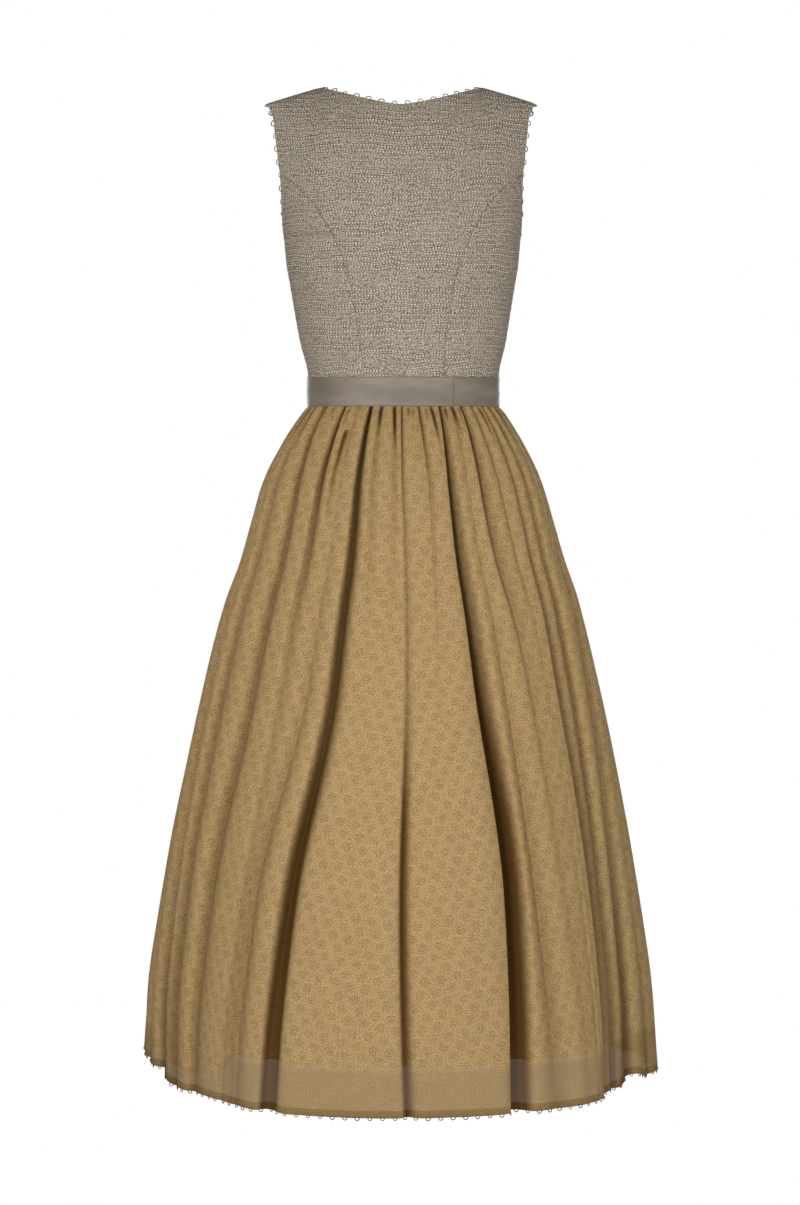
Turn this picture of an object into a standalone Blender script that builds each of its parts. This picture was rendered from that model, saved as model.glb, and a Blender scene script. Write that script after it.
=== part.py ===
"""A dirndl filled out as if worn, with nobody in it.

Metres, +Z up. The wearer faces -Y, so the back faces +Y and the wearer's left is +X. The origin is midway
between the neck ends of the two shoulder seams. Angles round the body are in degrees from the centre back,
positive towards the wearer's right (-X), so +-180 is the centre front.
"""

import math
from collections import namedtuple

import bmesh
import bpy
import numpy as np

# Walls and gaps
BODICE_WALL = 0.0020
BAND_WALL = 0.0014
SKIRT_WALL = 0.0012
UNDERSKIRT_WALL = 0.0010
TRIM_WALL = 0.0011
SEAM_GAP = 0.0003
TRIM_GAP = 0.0005
LAYER_GAP = 0.0005
STEEPEST = 1.6  # the most that a slanting wall is widened, so that it stays as thick across

# Shoulders and neck
SHOULDER_NECK_X = 0.1032
SHOULDER_TIP_X = 0.1688
SHOULDER_DROP = 0.0197
SHOULDER_ROUND = 0.120  # how far below the shoulder line the back and the front take to round over
ROUND_POWER = 2.2
BACK_NECK_DROP = 0.0262
BACK_NECK_POWER = 1.35
FRONT_NECK_DROP = 0.120
FRONT_NECK_POWER = 2.2

# Heights
BACK_JUNCTION = -0.1110  # where the back princess seam runs into the armhole
FRONT_JUNCTION = -0.1330
ARMHOLE_BOTTOM = -0.1905
BAND_TOP = -0.3669
WAIST_SEAM = -0.3856
BAND_BOTTOM = -0.4043
UNDERSKIRT_HEM = -1.2000
SKIRT_HEM = -1.2600

# Waistband lap, in degrees
BAND_START = 23.0
BAND_LAP_END = 30.4
BAND_RAMP = 7.0
BAND_RISEN = 0.5  # how far before the start the upper end has risen in full
BAND_STEP = 5.0

# Picot edging
BODICE_PICOT_PITCH = 0.0170
HEM_PICOT_PITCH = 0.0154
PICOT_HEIGHT = 0.0056
BODICE_PICOT_FOOT = 0.0036  # from a picot's middle to where it leaves the edge
TRIM_EDGE = 0.0012

# How the meshes are divided
BACK_NECK_COLUMNS = 5
FRONT_NECK_COLUMNS = 6
SHOULDER_COLUMNS = 3
SIDE_COLUMNS = 5
TOP_ROWS = 5
WIDE_SHARES = (0.0, 0.16, 0.5, 0.84)  # columns from one valley of the skirt to the next
NARROW_SHARES = (0.0, 0.5)
SHARP_ANGLE = 50.0

# One row for each level of the bodice: the half width of the whole section, its depth behind and in front of
# the side seams, the half width to the armhole edges, the princess seams' distance from the middle, and how
# far the middle leans to +X.
Level = namedtuple("Level", "z half_width back front back_armhole front_armhole back_seam front_seam lean")
BODICE = (
    Level(-0.3856, 0.1220, 0.0889, 0.1019, 0.1220, 0.1220, 0.0514, 0.056, -0.0025),
    Level(-0.3663, 0.1220, 0.0889, 0.1019, 0.1220, 0.1220, 0.0516, 0.056, -0.0025),
    Level(-0.3235, 0.1311, 0.0870, 0.1140, 0.1311, 0.1311, 0.0542, 0.062, -0.0019),
    Level(-0.2830, 0.1380, 0.0890, 0.1290, 0.1380, 0.1380, 0.0601, 0.072, -0.0014),
    Level(-0.2500, 0.1434, 0.0930, 0.1390, 0.1434, 0.1434, 0.0659, 0.082, -0.0013),
    Level(-0.2265, 0.1474, 0.0960, 0.1420, 0.1474, 0.1474, 0.0733, 0.088, -0.0012),
    Level(-0.1940, 0.1505, 0.0990, 0.1380, 0.1505, 0.1505, 0.0851, 0.098, -0.0010),
    Level(-0.1905, 0.1510, 0.0993, 0.1370, 0.1510, 0.1510, 0.0866, 0.100, -0.0010),
    Level(-0.1740, 0.1542, 0.1000, 0.1310, 0.1518, 0.1472, 0.0967, 0.109, -0.0008),
    Level(-0.1560, 0.1582, 0.1000, 0.1240, 0.1521, 0.1441, 0.1071, 0.121, -0.0005),
    Level(-0.1330, 0.1629, 0.0980, 0.1150, 0.1524, 0.1425, 0.1265, 0.1425, -0.0003),
    Level(-0.1225, 0.1651, 0.0965, 0.1110, 0.1528, 0.1425, 0.1389, 0.1425, -0.0001),
    Level(-0.1110, 0.1670, 0.0950, 0.1075, 0.1537, 0.1431, 0.1537, 0.1431, 0.0000),
    Level(-0.0820, 0.1724, 0.0900, 0.0990, 0.1568, 0.1472, 0.1568, 0.1472, 0.0003),
    Level(-0.0590, 0.1768, 0.0860, 0.0920, 0.1595, 0.1526, 0.1595, 0.1526, 0.0005),
    Level(-0.0395, 0.1808, 0.0810, 0.0860, 0.1619, 0.1590, 0.1619, 0.1590, 0.0006),
    Level(-0.0195, 0.1847, 0.0760, 0.0800, 0.1688, 0.1688, 0.1688, 0.1688, 0.0006),
    Level(0.0100, 0.1866, 0.0690, 0.0730, 0.1688, 0.1688, 0.1688, 0.1688, 0.0006),
)
BODICE_SQUARENESS = 2.3

# One row for each level of the skirt's ridges.
Ring = namedtuple("Ring", "z half_width back front squareness lean")
SKIRT = (
    Ring(-0.3859, 0.1220, 0.0890, 0.1020, 2.30, -0.0025),
    Ring(-0.4048, 0.1222, 0.0892, 0.1022, 2.30, -0.0025),
    Ring(-0.4093, 0.1268, 0.0945, 0.1070, 2.28, -0.0025),
    Ring(-0.4223, 0.1363, 0.1050, 0.1170, 2.25, -0.0022),
    Ring(-0.4472, 0.1518, 0.1210, 0.1330, 2.20, -0.0018),
    Ring(-0.4981, 0.1771, 0.1470, 0.1570, 2.12, -0.0013),
    Ring(-0.5491, 0.1932, 0.1660, 0.1750, 2.08, -0.0018),
    Ring(-0.6011, 0.2090, 0.1820, 0.1900, 2.05, -0.0018),
    Ring(-0.6523, 0.2280, 0.1980, 0.2060, 2.03, -0.0012),
    Ring(-0.7550, 0.2553, 0.2240, 0.2310, 2.00, 0.0006),
    Ring(-0.8585, 0.2782, 0.2460, 0.2520, 2.00, 0.0019),
    Ring(-0.9615, 0.2980, 0.2640, 0.2700, 2.00, 0.0033),
    Ring(-1.0660, 0.3155, 0.2810, 0.2860, 2.00, 0.0042),
    Ring(-1.1700, 0.3293, 0.2945, 0.2990, 2.00, 0.0047),
    Ring(-1.2600, 0.3346, 0.3010, 0.3050, 2.00, 0.0040),
)

# One row for each gather of the skirt. Its valley's angle and its depth in mm are given at the waist, at the
# hip, above the knee, below the knee and at the hem. A short gather dies out above the knee. The last column
# is how far, in mm at the hem, the ridge after the valley stands back from the skirt's form. One stands out.
Gather = namedtuple("Gather", "waist hip thigh calf hem d_waist d_hip d_thigh d_calf d_hem ridge_set_back")
STATIONS = (0.0, 0.15, 0.40, 0.70, 1.0)
GATHERS = (
    Gather(-180.0, -180.0, -180.0, -180.0, -180.0, 1.2, 4.0, 6.0, 8.0, 10.0, 0.0),
    Gather(-171.0, -169.5, -170.0, -171.0, -171.0, 1.2, 1.8, 0.0, 0.0, 0.0, 0.0),
    Gather(-161.0, -159.0, -158.0, -155.5, -153.0, 1.5, 7.0, 11.0, 16.0, 19.0, 0.0),
    Gather(-148.0, -148.0, -147.0, -145.0, -143.0, 1.2, 4.0, 3.0, 4.0, 6.0, 0.0),
    Gather(-137.0, -136.0, -134.0, -131.0, -128.5, 1.4, 5.0, 8.0, 13.0, 16.0, 0.0),
    Gather(-123.0, -124.0, -122.0, -120.5, -119.0, 1.2, 3.0, 5.0, 7.0, 9.0, -20.0),
    Gather(-107.0, -107.0, -106.0, -105.0, -104.0, 1.4, 5.0, 9.0, 14.0, 18.0, 4.0),
    Gather(-93.0, -92.0, -91.0, -88.5, -87.0, 1.0, 3.0, 6.0, 10.0, 13.0, 16.0),
    Gather(-82.0, -79.0, -77.5, -75.5, -73.0, 1.0, 3.0, 8.0, 15.0, 20.0, 18.0),
    Gather(-70.5, -67.0, -64.8, -67.0, -66.0, 1.2, 4.0, 7.0, 11.0, 14.0, 26.0),
    Gather(-60.0, -50.8, -49.5, -55.6, -57.0, 1.6, 7.0, 9.0, 12.0, 15.0, 28.0),
    Gather(-38.6, -36.2, -36.5, -41.0, -45.0, 1.4, 5.0, 2.5, 1.5, 1.5, 20.0),
    Gather(-28.0, -27.0, -27.8, -36.8, -39.3, 1.2, 1.5, 4.0, 6.5, 8.0, 8.0),
    Gather(-20.0, -18.6, -19.3, -27.0, -29.7, 1.5, 8.0, 11.0, 15.0, 18.0, 0.0),
    Gather(-13.0, -12.0, -11.5, -14.0, -15.0, 1.3, 2.5, 0.5, 0.0, 0.0, 0.0),
    Gather(-5.0, -3.2, -4.5, -6.0, -7.0, 1.2, 2.2, 0.5, 0.0, 0.0, 0.0),
    Gather(-1.3, 0.5, 1.9, 1.0, 2.0, 1.2, 4.0, 6.0, 8.0, 10.0, 0.0),
    Gather(8.4, 11.6, 11.0, 12.0, 12.0, 1.2, 2.0, 0.5, 0.0, 0.0, 0.0),
    Gather(22.3, 20.2, 22.8, 27.5, 26.3, 1.5, 9.0, 14.0, 21.0, 24.0, 0.0),
    Gather(30.5, 28.0, 31.0, 34.4, 36.0, 1.2, 1.5, 4.0, 6.5, 8.0, 0.0),
    Gather(37.5, 34.7, 40.0, 43.0, 46.0, 1.4, 5.0, 2.5, 2.0, 2.0, 2.0),
    Gather(45.6, 44.5, 46.5, 48.5, 50.0, 1.3, 2.0, 0.5, 0.0, 0.0, 12.0),
    Gather(56.0, 53.0, 51.6, 54.0, 54.5, 1.3, 4.0, 7.0, 10.0, 13.0, 24.0),
    Gather(66.0, 63.5, 60.5, 60.6, 62.0, 1.2, 4.0, 8.0, 12.0, 16.0, 24.0),
    Gather(82.0, 80.0, 75.0, 70.5, 69.5, 1.2, 4.0, 9.0, 16.0, 20.0, 14.0),
    Gather(93.0, 92.0, 88.5, 84.5, 82.5, 1.0, 3.0, 6.0, 10.0, 13.0, 0.0),
    Gather(106.0, 105.0, 103.5, 101.0, 99.0, 1.4, 5.0, 9.0, 13.0, 17.0, 0.0),
    Gather(119.0, 118.0, 117.0, 116.0, 115.0, 1.2, 3.0, 4.0, 6.0, 8.0, 0.0),
    Gather(133.0, 132.5, 131.0, 129.0, 127.0, 1.4, 6.0, 10.0, 15.0, 18.0, 0.0),
    Gather(146.0, 146.0, 145.0, 143.5, 142.0, 1.2, 3.0, 3.0, 4.0, 5.0, 0.0),
    Gather(158.0, 156.0, 156.5, 155.0, 154.0, 1.5, 6.0, 10.0, 14.0, 17.0, 0.0),
    Gather(170.0, 168.5, 169.0, 170.0, 170.0, 1.2, 1.8, 0.0, 0.0, 0.0, 0.0),
)
LEFT_SIDE_SEAM, CENTRE_BACK_SEAM, RIGHT_SIDE_SEAM = 7, 16, 25  # rows of GATHERS whose valleys hold the seams
RIDGE_POWER = 2.2
SET_BACK_POWER = 2.5  # a ridge stands back little above the knee and most at the hem
WIDE_GATHER = 8.0  # degrees at the hem, above which a gather's ridge takes more columns
SKIRT_ROWS = (-0.3859, -0.4048, -0.4240, -0.4640, -0.5360, -0.6460, -0.7960, -0.9780)

BACK_ROWS = (-0.3663, -0.3365, -0.3015, -0.2720, -0.2325, -0.2055, -0.1905, -0.1825, -0.1680, -0.1480, -0.1290)
FRONT_ROWS = (-0.3663, -0.3365, -0.3015, -0.2720, -0.2325, -0.2055, -0.1905, -0.1825, -0.1680, -0.1500)
TIP_TRIM = 0.78  # how much of its last row a side panel keeps, so that its point has a width

Cloth = namedtuple("Cloth", "name colour roughness")
BOUCLE = Cloth("boucle", (0.335, 0.277, 0.216), 0.90)
SATIN = Cloth("satin", (0.255, 0.215, 0.165), 0.45)
ORGANZA = Cloth("organza", (0.413, 0.287, 0.145), 0.60)
TAFFETA = Cloth("taffeta", (0.330, 0.215, 0.100), 0.65)
THREAD = Cloth("thread", (0.200, 0.170, 0.140), 0.80)

# Small steps for slopes, and the rounds in which two values that depend on each other settle
NEAR_ANGLE = 1e-3
NEAR_HEIGHT = 1e-4
WIDE_ANGLE = 5e-3
SETTLING_ROUNDS = 12


def smooth(rows, column, at):
    """The column's value at a height or heights, on a curve through the table that never overshoots it."""
    rows = sorted(rows, key=lambda row: row.z)
    xs = np.array([row.z for row in rows])
    ys = np.array([getattr(row, column) for row in rows])
    return monotone(xs, ys, at)


def monotone(xs, ys, at):
    at = np.clip(np.asarray(at, float), xs[0], xs[-1])
    step = np.diff(xs)
    secant = np.diff(ys) / step
    slope = np.zeros_like(ys)
    slope[0], slope[-1] = secant[0], secant[-1]
    same_way = secant[:-1] * secant[1:] > 0
    slope[1:-1][same_way] = 2 / (1 / secant[:-1][same_way] + 1 / secant[1:][same_way])
    i = np.clip(np.searchsorted(xs, at, side="right") - 1, 0, len(step) - 1)
    h = step[i]
    f = (at - xs[i]) / h
    return (
        (1 + 2 * f) * (1 - f) ** 2 * ys[i]
        + f * (1 - f) ** 2 * h * slope[i]
        + f**2 * (3 - 2 * f) * ys[i + 1]
        + f**2 * (f - 1) * h * slope[i + 1]
    )


def unit(vectors):
    return vectors / np.maximum(np.linalg.norm(vectors, axis=-1, keepdims=True), 1e-12)


def oval(angle, half_width, back, front, squareness):
    """A point of a rounded section: half_width to each side, back and front deep. Angle in radians."""
    sine, cosine = np.sin(angle), np.cos(angle)
    depth = np.where(cosine >= 0, back, front)
    reach = np.maximum(1 - np.abs(sine) ** squareness, 0) ** (1 / squareness)
    return -half_width * sine, depth * np.sign(cosine) * reach


# Bodice


def shoulder_line(x):
    slope = SHOULDER_DROP / (SHOULDER_TIP_X - SHOULDER_NECK_X)
    return slope * (SHOULDER_NECK_X - np.abs(x))


def bodice_point(angle, z):
    x, y = oval(
        angle,
        smooth(BODICE, "half_width", z),
        smooth(BODICE, "back", z),
        smooth(BODICE, "front", z),
        BODICE_SQUARENESS,
    )
    below = np.clip((shoulder_line(x) - z) / SHOULDER_ROUND, 0, 1)
    y = y * (1 - (1 - below) ** ROUND_POWER) ** (1 / ROUND_POWER)
    return np.stack([x + smooth(BODICE, "lean", z), y, z + 0 * x], axis=-1)


def bodice_normal(angle, z):
    across = bodice_point(angle + NEAR_ANGLE, z) - bodice_point(angle - NEAR_ANGLE, z)
    up = bodice_point(angle, z + NEAR_HEIGHT) - bodice_point(angle, z - NEAR_HEIGHT)
    return unit(np.cross(across, up))


def bodice_angle(column, z, side, behind):
    """The angle at which a seam or an armhole edge, given by its distance from the middle, lies at height z."""
    ratio = np.clip(smooth(BODICE, column, z) / smooth(BODICE, "half_width", z), 0, 1)
    angle = np.arcsin(ratio)
    return side * (angle if behind else math.pi - angle)


def top_edge(x, behind):
    """Height of the neck edge and of the shoulder seam at a distance from the middle."""
    drop, power = (BACK_NECK_DROP, BACK_NECK_POWER) if behind else (FRONT_NECK_DROP, FRONT_NECK_POWER)
    neck = -drop * (1 - np.minimum(np.abs(x) / SHOULDER_NECK_X, 1) ** power)
    return np.where(np.abs(x) < SHOULDER_NECK_X, neck, shoulder_line(x))


def round_angle(below):
    """How far round the shoulder's curve a point this far below the shoulder line lies, 0 at the seam."""
    ratio = np.clip(1 - below / SHOULDER_ROUND, 0, 1)
    return np.arccos(ratio ** (ROUND_POWER / 2))


def upper_rows(left, right, columns, junction, behind):
    """Angles and heights from the junction level up to the neck and shoulders."""
    angles, heights = [], []
    for row in range(1, TOP_ROWS + 1):
        part = row / TOP_ROWS
        z = np.full(len(columns), junction)
        for _ in range(SETTLING_ROUNDS):  # a point's width and height depend on each other
            angle = left(z) + (right(z) - left(z)) * columns
            x = bodice_point(angle, z)[..., 0] - smooth(BODICE, "lean", z)
            line = shoulder_line(x)
            low = round_angle(line - junction)
            high = round_angle(line - top_edge(x, behind))
            turned = low + (high - low) * part
            z = line - SHOULDER_ROUND * (1 - np.cos(turned) ** (2 / ROUND_POWER))
            low_z = line - np.minimum(line - junction, SHOULDER_ROUND)
            z = z + (junction - low_z) * (1 - part)
        angles.append(angle)
        heights.append(z)
    return angles, heights


def bodice_grid(left, right, columns, rows, junction=None, behind=True):
    """Outer points and normals of a panel, row by row from the waist seam up."""
    columns = np.asarray(columns)
    angles, heights = [], []
    for z in rows:
        z = np.full(len(columns), z)
        heights.append(z)
        angles.append(left(z) + (right(z) - left(z)) * columns)
    if junction is not None:
        more_angles, more_heights = upper_rows(left, right, columns, junction, behind)
        angles += more_angles
        heights += more_heights
    angles, heights = np.array(angles), np.array(heights)
    return bodice_point(angles, heights), bodice_normal(angles, heights)


def pull_in(points, normals, edge, gap=SEAM_GAP / 2):
    """Moves one edge of a grid of points towards its inside, square to the edge and along the cloth."""
    views = {
        "left": (np.s_[:, 0], np.s_[:, 1]),
        "right": (np.s_[:, -1], np.s_[:, -2]),
        "top": (np.s_[-1, :], np.s_[-2, :]),
        "bottom": (np.s_[0, :], np.s_[1, :]),
    }
    line, inside = views[edge]
    along = np.gradient(points[line], axis=0)
    inward = unit(np.cross(normals[line], along))
    inward *= np.sign(np.sum(inward * (points[inside] - points[line]), axis=-1, keepdims=True))
    points[line] += inward * gap


def shell(name, outer, inner, cloth, ring=False):
    """A wall between two grids of points. A ring's last column joins its first."""
    rows, columns = outer.shape[:2]
    mesh_builder = bmesh.new()
    out = [[mesh_builder.verts.new(point) for point in row] for row in outer]
    into = [[mesh_builder.verts.new(point) for point in row] for row in inner]
    last = columns if ring else columns - 1
    for i in range(last):
        j = (i + 1) % columns
        for row in range(rows - 1):
            mesh_builder.faces.new((out[row][i], out[row][j], out[row + 1][j], out[row + 1][i]))
            mesh_builder.faces.new((into[row][i], into[row + 1][i], into[row + 1][j], into[row][j]))
        mesh_builder.faces.new((out[0][j], out[0][i], into[0][i], into[0][j]))
        mesh_builder.faces.new((out[-1][i], out[-1][j], into[-1][j], into[-1][i]))
    if not ring:
        for row in range(rows - 1):
            mesh_builder.faces.new((out[row][0], out[row + 1][0], into[row + 1][0], into[row][0]))
            mesh_builder.faces.new((out[row + 1][-1], out[row][-1], into[row][-1], into[row + 1][-1]))
    return finish(name, mesh_builder, cloth)


def finish(name, mesh_builder, cloth):
    # Every four-sided face is split the same way, so that the two faces of a wall, and layers, stay parallel.
    bmesh.ops.triangulate(mesh_builder, faces=mesh_builder.faces[:], quad_method="FIXED")
    bmesh.ops.recalc_face_normals(mesh_builder, faces=mesh_builder.faces[:])
    mesh = bpy.data.meshes.new(name)
    mesh_builder.to_mesh(mesh)
    mesh_builder.free()
    mesh.shade_smooth()
    mesh.set_sharp_from_angle(angle=math.radians(SHARP_ANGLE))
    mesh.materials.append(cloth_material(cloth))
    piece = bpy.data.objects.new(name, mesh)
    bpy.context.scene.collection.objects.link(piece)
    piece.parent = bpy.data.objects["dirndl"]
    return piece


def cloth_material(cloth):
    if cloth.name in bpy.data.materials:
        return bpy.data.materials[cloth.name]
    material = bpy.data.materials.new(cloth.name)
    material.use_nodes = True
    shader = material.node_tree.nodes["Principled BSDF"]
    shader.inputs["Base Color"].default_value = (*cloth.colour, 1)
    shader.inputs["Roughness"].default_value = cloth.roughness
    shader.inputs["Metallic"].default_value = 0.0
    return material


def bodice_panel(name, points, normals, edges):
    for edge in edges:
        pull_in(points, normals, edge)
    return shell(name, points, points - normals * BODICE_WALL, BOUCLE)


def level_normals(normals, selection):
    """Keeps the wall's end face on a seam that lies in the plane y = 0 from reaching across it."""
    normals[selection + (1,)] = 0
    normals[selection] = unit(normals[selection])


def seam_line(column, side, behind):
    """A seam or an armhole edge of one side, as a function from height to angle."""
    return lambda z: bodice_angle(column, z, side, behind)


def centre_front(side):
    return lambda z: np.full(np.shape(z), side * math.pi)


def half_columns(neck_columns):
    """Shares of the way from the middle to the armhole: finer over the neck, then along the shoulder."""
    neck = math.asin(SHOULDER_NECK_X / float(smooth(BODICE, "half_width", 0.0)))
    tip = math.asin(SHOULDER_TIP_X / float(smooth(BODICE, "half_width", -SHOULDER_DROP)))
    share = neck / tip
    return np.concatenate([np.linspace(0, share, neck_columns)[:-1], np.linspace(share, 1, SHOULDER_COLUMNS)])


def close_shoulder(points, normals, chosen, behind):
    """Brings a shoulder edge to half a seam gap from the plane in which the back meets the front."""
    level_normals(normals, (-1, chosen))
    points[-1, chosen, 1] = SEAM_GAP / 2 if behind else -SEAM_GAP / 2


def build_bodice():
    """The panels, and the edges that the picot edging follows: (outer, normal, inside) for each panel."""
    edges = {"neck": {}, "armhole": {}}
    half = half_columns(BACK_NECK_COLUMNS)
    columns = np.concatenate([-half[::-1], half[1:]]) / 2 + 0.5
    rows = (WAIST_SEAM, *BACK_ROWS, BACK_JUNCTION)
    left, right = seam_line("back_seam", -1, True), seam_line("back_seam", 1, True)
    points, normals = bodice_grid(left, right, columns, rows, BACK_JUNCTION)
    last = len(columns)
    for chosen in (list(range(SHOULDER_COLUMNS)), list(range(last - SHOULDER_COLUMNS, last))):
        close_shoulder(points, normals, chosen, behind=True)
    bodice_panel("bodice_back_centre", points, normals, ("left", "right"))
    neck = np.s_[SHOULDER_COLUMNS - 1 : 1 - SHOULDER_COLUMNS]
    edges["neck"]["back"] = (points[-1, neck], normals[-1, neck], points[-2, neck])
    level = len(rows) - 1
    for side, column, inside in ((1, -1, -2), (-1, 0, 1)):
        edge = (points[level:, column], normals[level:, column], points[level:, inside])
        edges["armhole"][side, "back"] = [edge]

    for side, label in ((-1, "left"), (1, "right")):
        seam, armhole = seam_line("back_seam", side, True), seam_line("back_armhole", side, True)
        points, normals = bodice_grid(seam, armhole, np.linspace(0, 1, SIDE_COLUMNS), rows)
        side_panel(f"bodice_back_side_{label}", points, normals, rows, edges["armhole"][side, "back"])
        build_front_half(side, label, edges)
    return edges


def build_front_half(side, label, edges):
    rows = (WAIST_SEAM, *FRONT_ROWS, FRONT_JUNCTION)
    seam, armhole = seam_line("front_seam", side, False), seam_line("front_armhole", side, False)
    columns = half_columns(FRONT_NECK_COLUMNS)
    points, normals = bodice_grid(centre_front(side), seam, columns, rows, FRONT_JUNCTION, behind=False)
    close_shoulder(points, normals, list(range(-SHOULDER_COLUMNS, 0)), behind=False)
    bodice_panel(f"bodice_front_{label}", points, normals, ("left", "right"))
    neck = np.s_[: 1 - SHOULDER_COLUMNS]
    edges["neck"][side] = (points[-1, neck], normals[-1, neck], points[-2, neck])
    level = len(rows) - 1
    edges["armhole"][side, "front"] = [(points[level:, -1], normals[level:, -1], points[level:, -2])]

    points, normals = bodice_grid(seam, armhole, np.linspace(0, 1, SIDE_COLUMNS), rows)
    side_panel(f"bodice_front_side_{label}", points, normals, rows, edges["armhole"][side, "front"])


def side_panel(name, points, normals, rows, armhole_edges):
    """A panel from a princess seam to the side seam. Above the armhole's bottom its outer edge is the armhole."""
    points[-1] = points[-2] + (points[-1] - points[-2]) * TIP_TRIM
    bottom = rows.index(ARMHOLE_BOTTOM)
    below = np.arange(bottom + 1)
    normals[below, -1, 1] = 0
    normals[below, -1] = unit(normals[below, -1])
    points[below, -1, 1] += np.sign(points[below, -2, 1]) * SEAM_GAP / 2
    bodice_panel(name, points, normals, ("left",))
    armhole_edges.insert(0, (points[bottom:, -1], normals[bottom:, -1], points[bottom:, -2]))


# Waistband


def build_waistband():
    """One ribbon round the waist, whose upper end rises over its start."""
    risen = BAND_START + 360 - BAND_RISEN
    rise = risen - BAND_RAMP
    steps = np.arange(BAND_START, BAND_LAP_END + 360 - BAND_STEP / 2, BAND_STEP)
    degrees = np.union1d(steps, (rise, rise + BAND_RAMP / 2, risen, BAND_LAP_END + 360))
    lift = (BAND_WALL + SEAM_GAP) * np.clip((degrees - rise) / BAND_RAMP, 0, 1)
    waist = SKIRT[0]
    angle = np.radians(degrees)
    inner_wall, outer_wall = [], []
    for z in (BAND_BOTTOM, BAND_TOP):
        points = plan_points(angle, waist, z)
        outward = plan_normals(angle, waist)
        inner_wall.append(points + outward * (SEAM_GAP + lift)[:, None])
        outer_wall.append(points + outward * (SEAM_GAP + lift + BAND_WALL)[:, None])
    shell("waistband", np.array(outer_wall), np.array(inner_wall), SATIN)


def plan_points(angle, ring, z):
    x, y = oval(angle, ring.half_width, ring.back, ring.front, ring.squareness)
    return np.stack([x + ring.lean, y, np.full_like(x, z)], axis=-1)


def plan_normals(angle, ring):
    along = plan_points(angle + WIDE_ANGLE, ring, 0) - plan_points(angle - WIDE_ANGLE, ring, 0)
    return unit(np.stack([along[:, 1], -along[:, 0], 0 * angle], axis=-1))


# Skirt


def gather_columns():
    """For each column: the gather whose valley it follows, the next one, and how far it lies between them."""
    columns = []
    for i, gather in enumerate(GATHERS):
        following = (i + 1) % len(GATHERS)
        span = (GATHERS[following].hem - gather.hem) % 360
        for share in WIDE_SHARES if span > WIDE_GATHER else NARROW_SHARES:
            columns.append((i, following, share))
    return columns


def ridge_fall(share):
    return np.maximum(1 - 2 * share, 0) ** RIDGE_POWER


def along_gather(gather, length):
    """The valley's angle and its depth in mm, this share of the way from the waist to the hem."""
    stations, count = np.array(STATIONS), len(STATIONS)
    angle = float(monotone(stations, np.array(gather[:count]), length))
    return angle, float(monotone(stations, np.array(gather[count : 2 * count]), length))


def skirt_row(z, columns):
    """Angles and depths of the columns at one height."""
    length = (SKIRT[0].z - z) / (SKIRT[0].z - SKIRT_HEM)
    angles, depths = [], []
    for i, following, share in columns:
        start, start_depth = along_gather(GATHERS[i], length)
        end, end_depth = along_gather(GATHERS[following], length)
        end += 360 if end < start else 0
        set_back = GATHERS[i].ridge_set_back
        if share == 0:
            set_back = (GATHERS[i - 1].ridge_set_back + set_back) / 2
        depth = start_depth * ridge_fall(share) + end_depth * ridge_fall(1 - share)
        depth += set_back * length**SET_BACK_POWER
        angles.append(start + (end - start) * share)
        depths.append(depth / 1000)
    return np.radians(angles), np.array(depths)


def skirt_layers(rows, columns):
    """Points on the ridges' form, outward directions, depths and wall factors, row by row."""
    grid, outward, depths, factors = [], [], [], []
    for z in rows:
        ring = Ring(z, *(float(smooth(SKIRT, name, z)) for name in Ring._fields[1:]))
        angle, depth = skirt_row(z, columns)
        points = plan_points(angle, ring, z)
        spread = np.linalg.norm(np.roll(points, -1, axis=0) - np.roll(points, 1, axis=0), axis=1)
        steepness = (np.roll(depth, -1) - np.roll(depth, 1)) / spread
        grid.append(points)
        outward.append(plan_normals(angle, ring))
        depths.append(depth)
        factors.append(np.minimum(np.sqrt(1 + steepness**2), STEEPEST))
    return np.array(grid), np.array(outward), np.array(depths)[..., None], np.array(factors)[..., None]


def build_skirt():
    columns = gather_columns()
    rows = (*SKIRT_ROWS, UNDERSKIRT_HEM, SKIRT_HEM)
    grid, outward, depths, factors = skirt_layers(rows, columns)
    outer = grid - outward * depths
    inner = outer - outward * factors * SKIRT_WALL
    seams = [columns.index((i, (i + 1) % len(GATHERS), 0)) for i in seam_gathers()]
    widths = ("skirt_front_left", "skirt_back_left", "skirt_back_right", "skirt_front_right")
    for name, first, last in zip(widths, seams, seams[1:] + [len(columns)]):
        chosen = [i % len(columns) for i in range(first, last + 1)]
        wall = [layer[:, chosen].copy() for layer in (outer, inner)]
        part_at_seams(*wall)
        shell(name, *wall, ORGANZA)

    below = rows.index(UNDERSKIRT_HEM) + 1
    near = outer - outward * factors * (SKIRT_WALL + LAYER_GAP)
    far = near - outward * factors * UNDERSKIRT_WALL
    shell("underskirt", near[:below], far[:below], TAFFETA, ring=True)
    return outer[-1], inner[-1]


def seam_gathers():
    return (0, LEFT_SIDE_SEAM, CENTRE_BACK_SEAM, RIGHT_SIDE_SEAM)


def part_at_seams(outer, inner):
    """Draws both end columns of a width back by half a seam gap, outer and inner points alike."""
    for end, inside in ((0, 1), (-1, -2)):
        away = outer[:, inside] - outer[:, end]
        across = outer[:, end] - inner[:, end]
        side = unit(away - across * np.sum(away * across, axis=1, keepdims=True)
                    / np.sum(across * across, axis=1, keepdims=True))
        for layer in (outer, inner):
            layer[:, end] += side * SEAM_GAP / 2


# Picot edging


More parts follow.
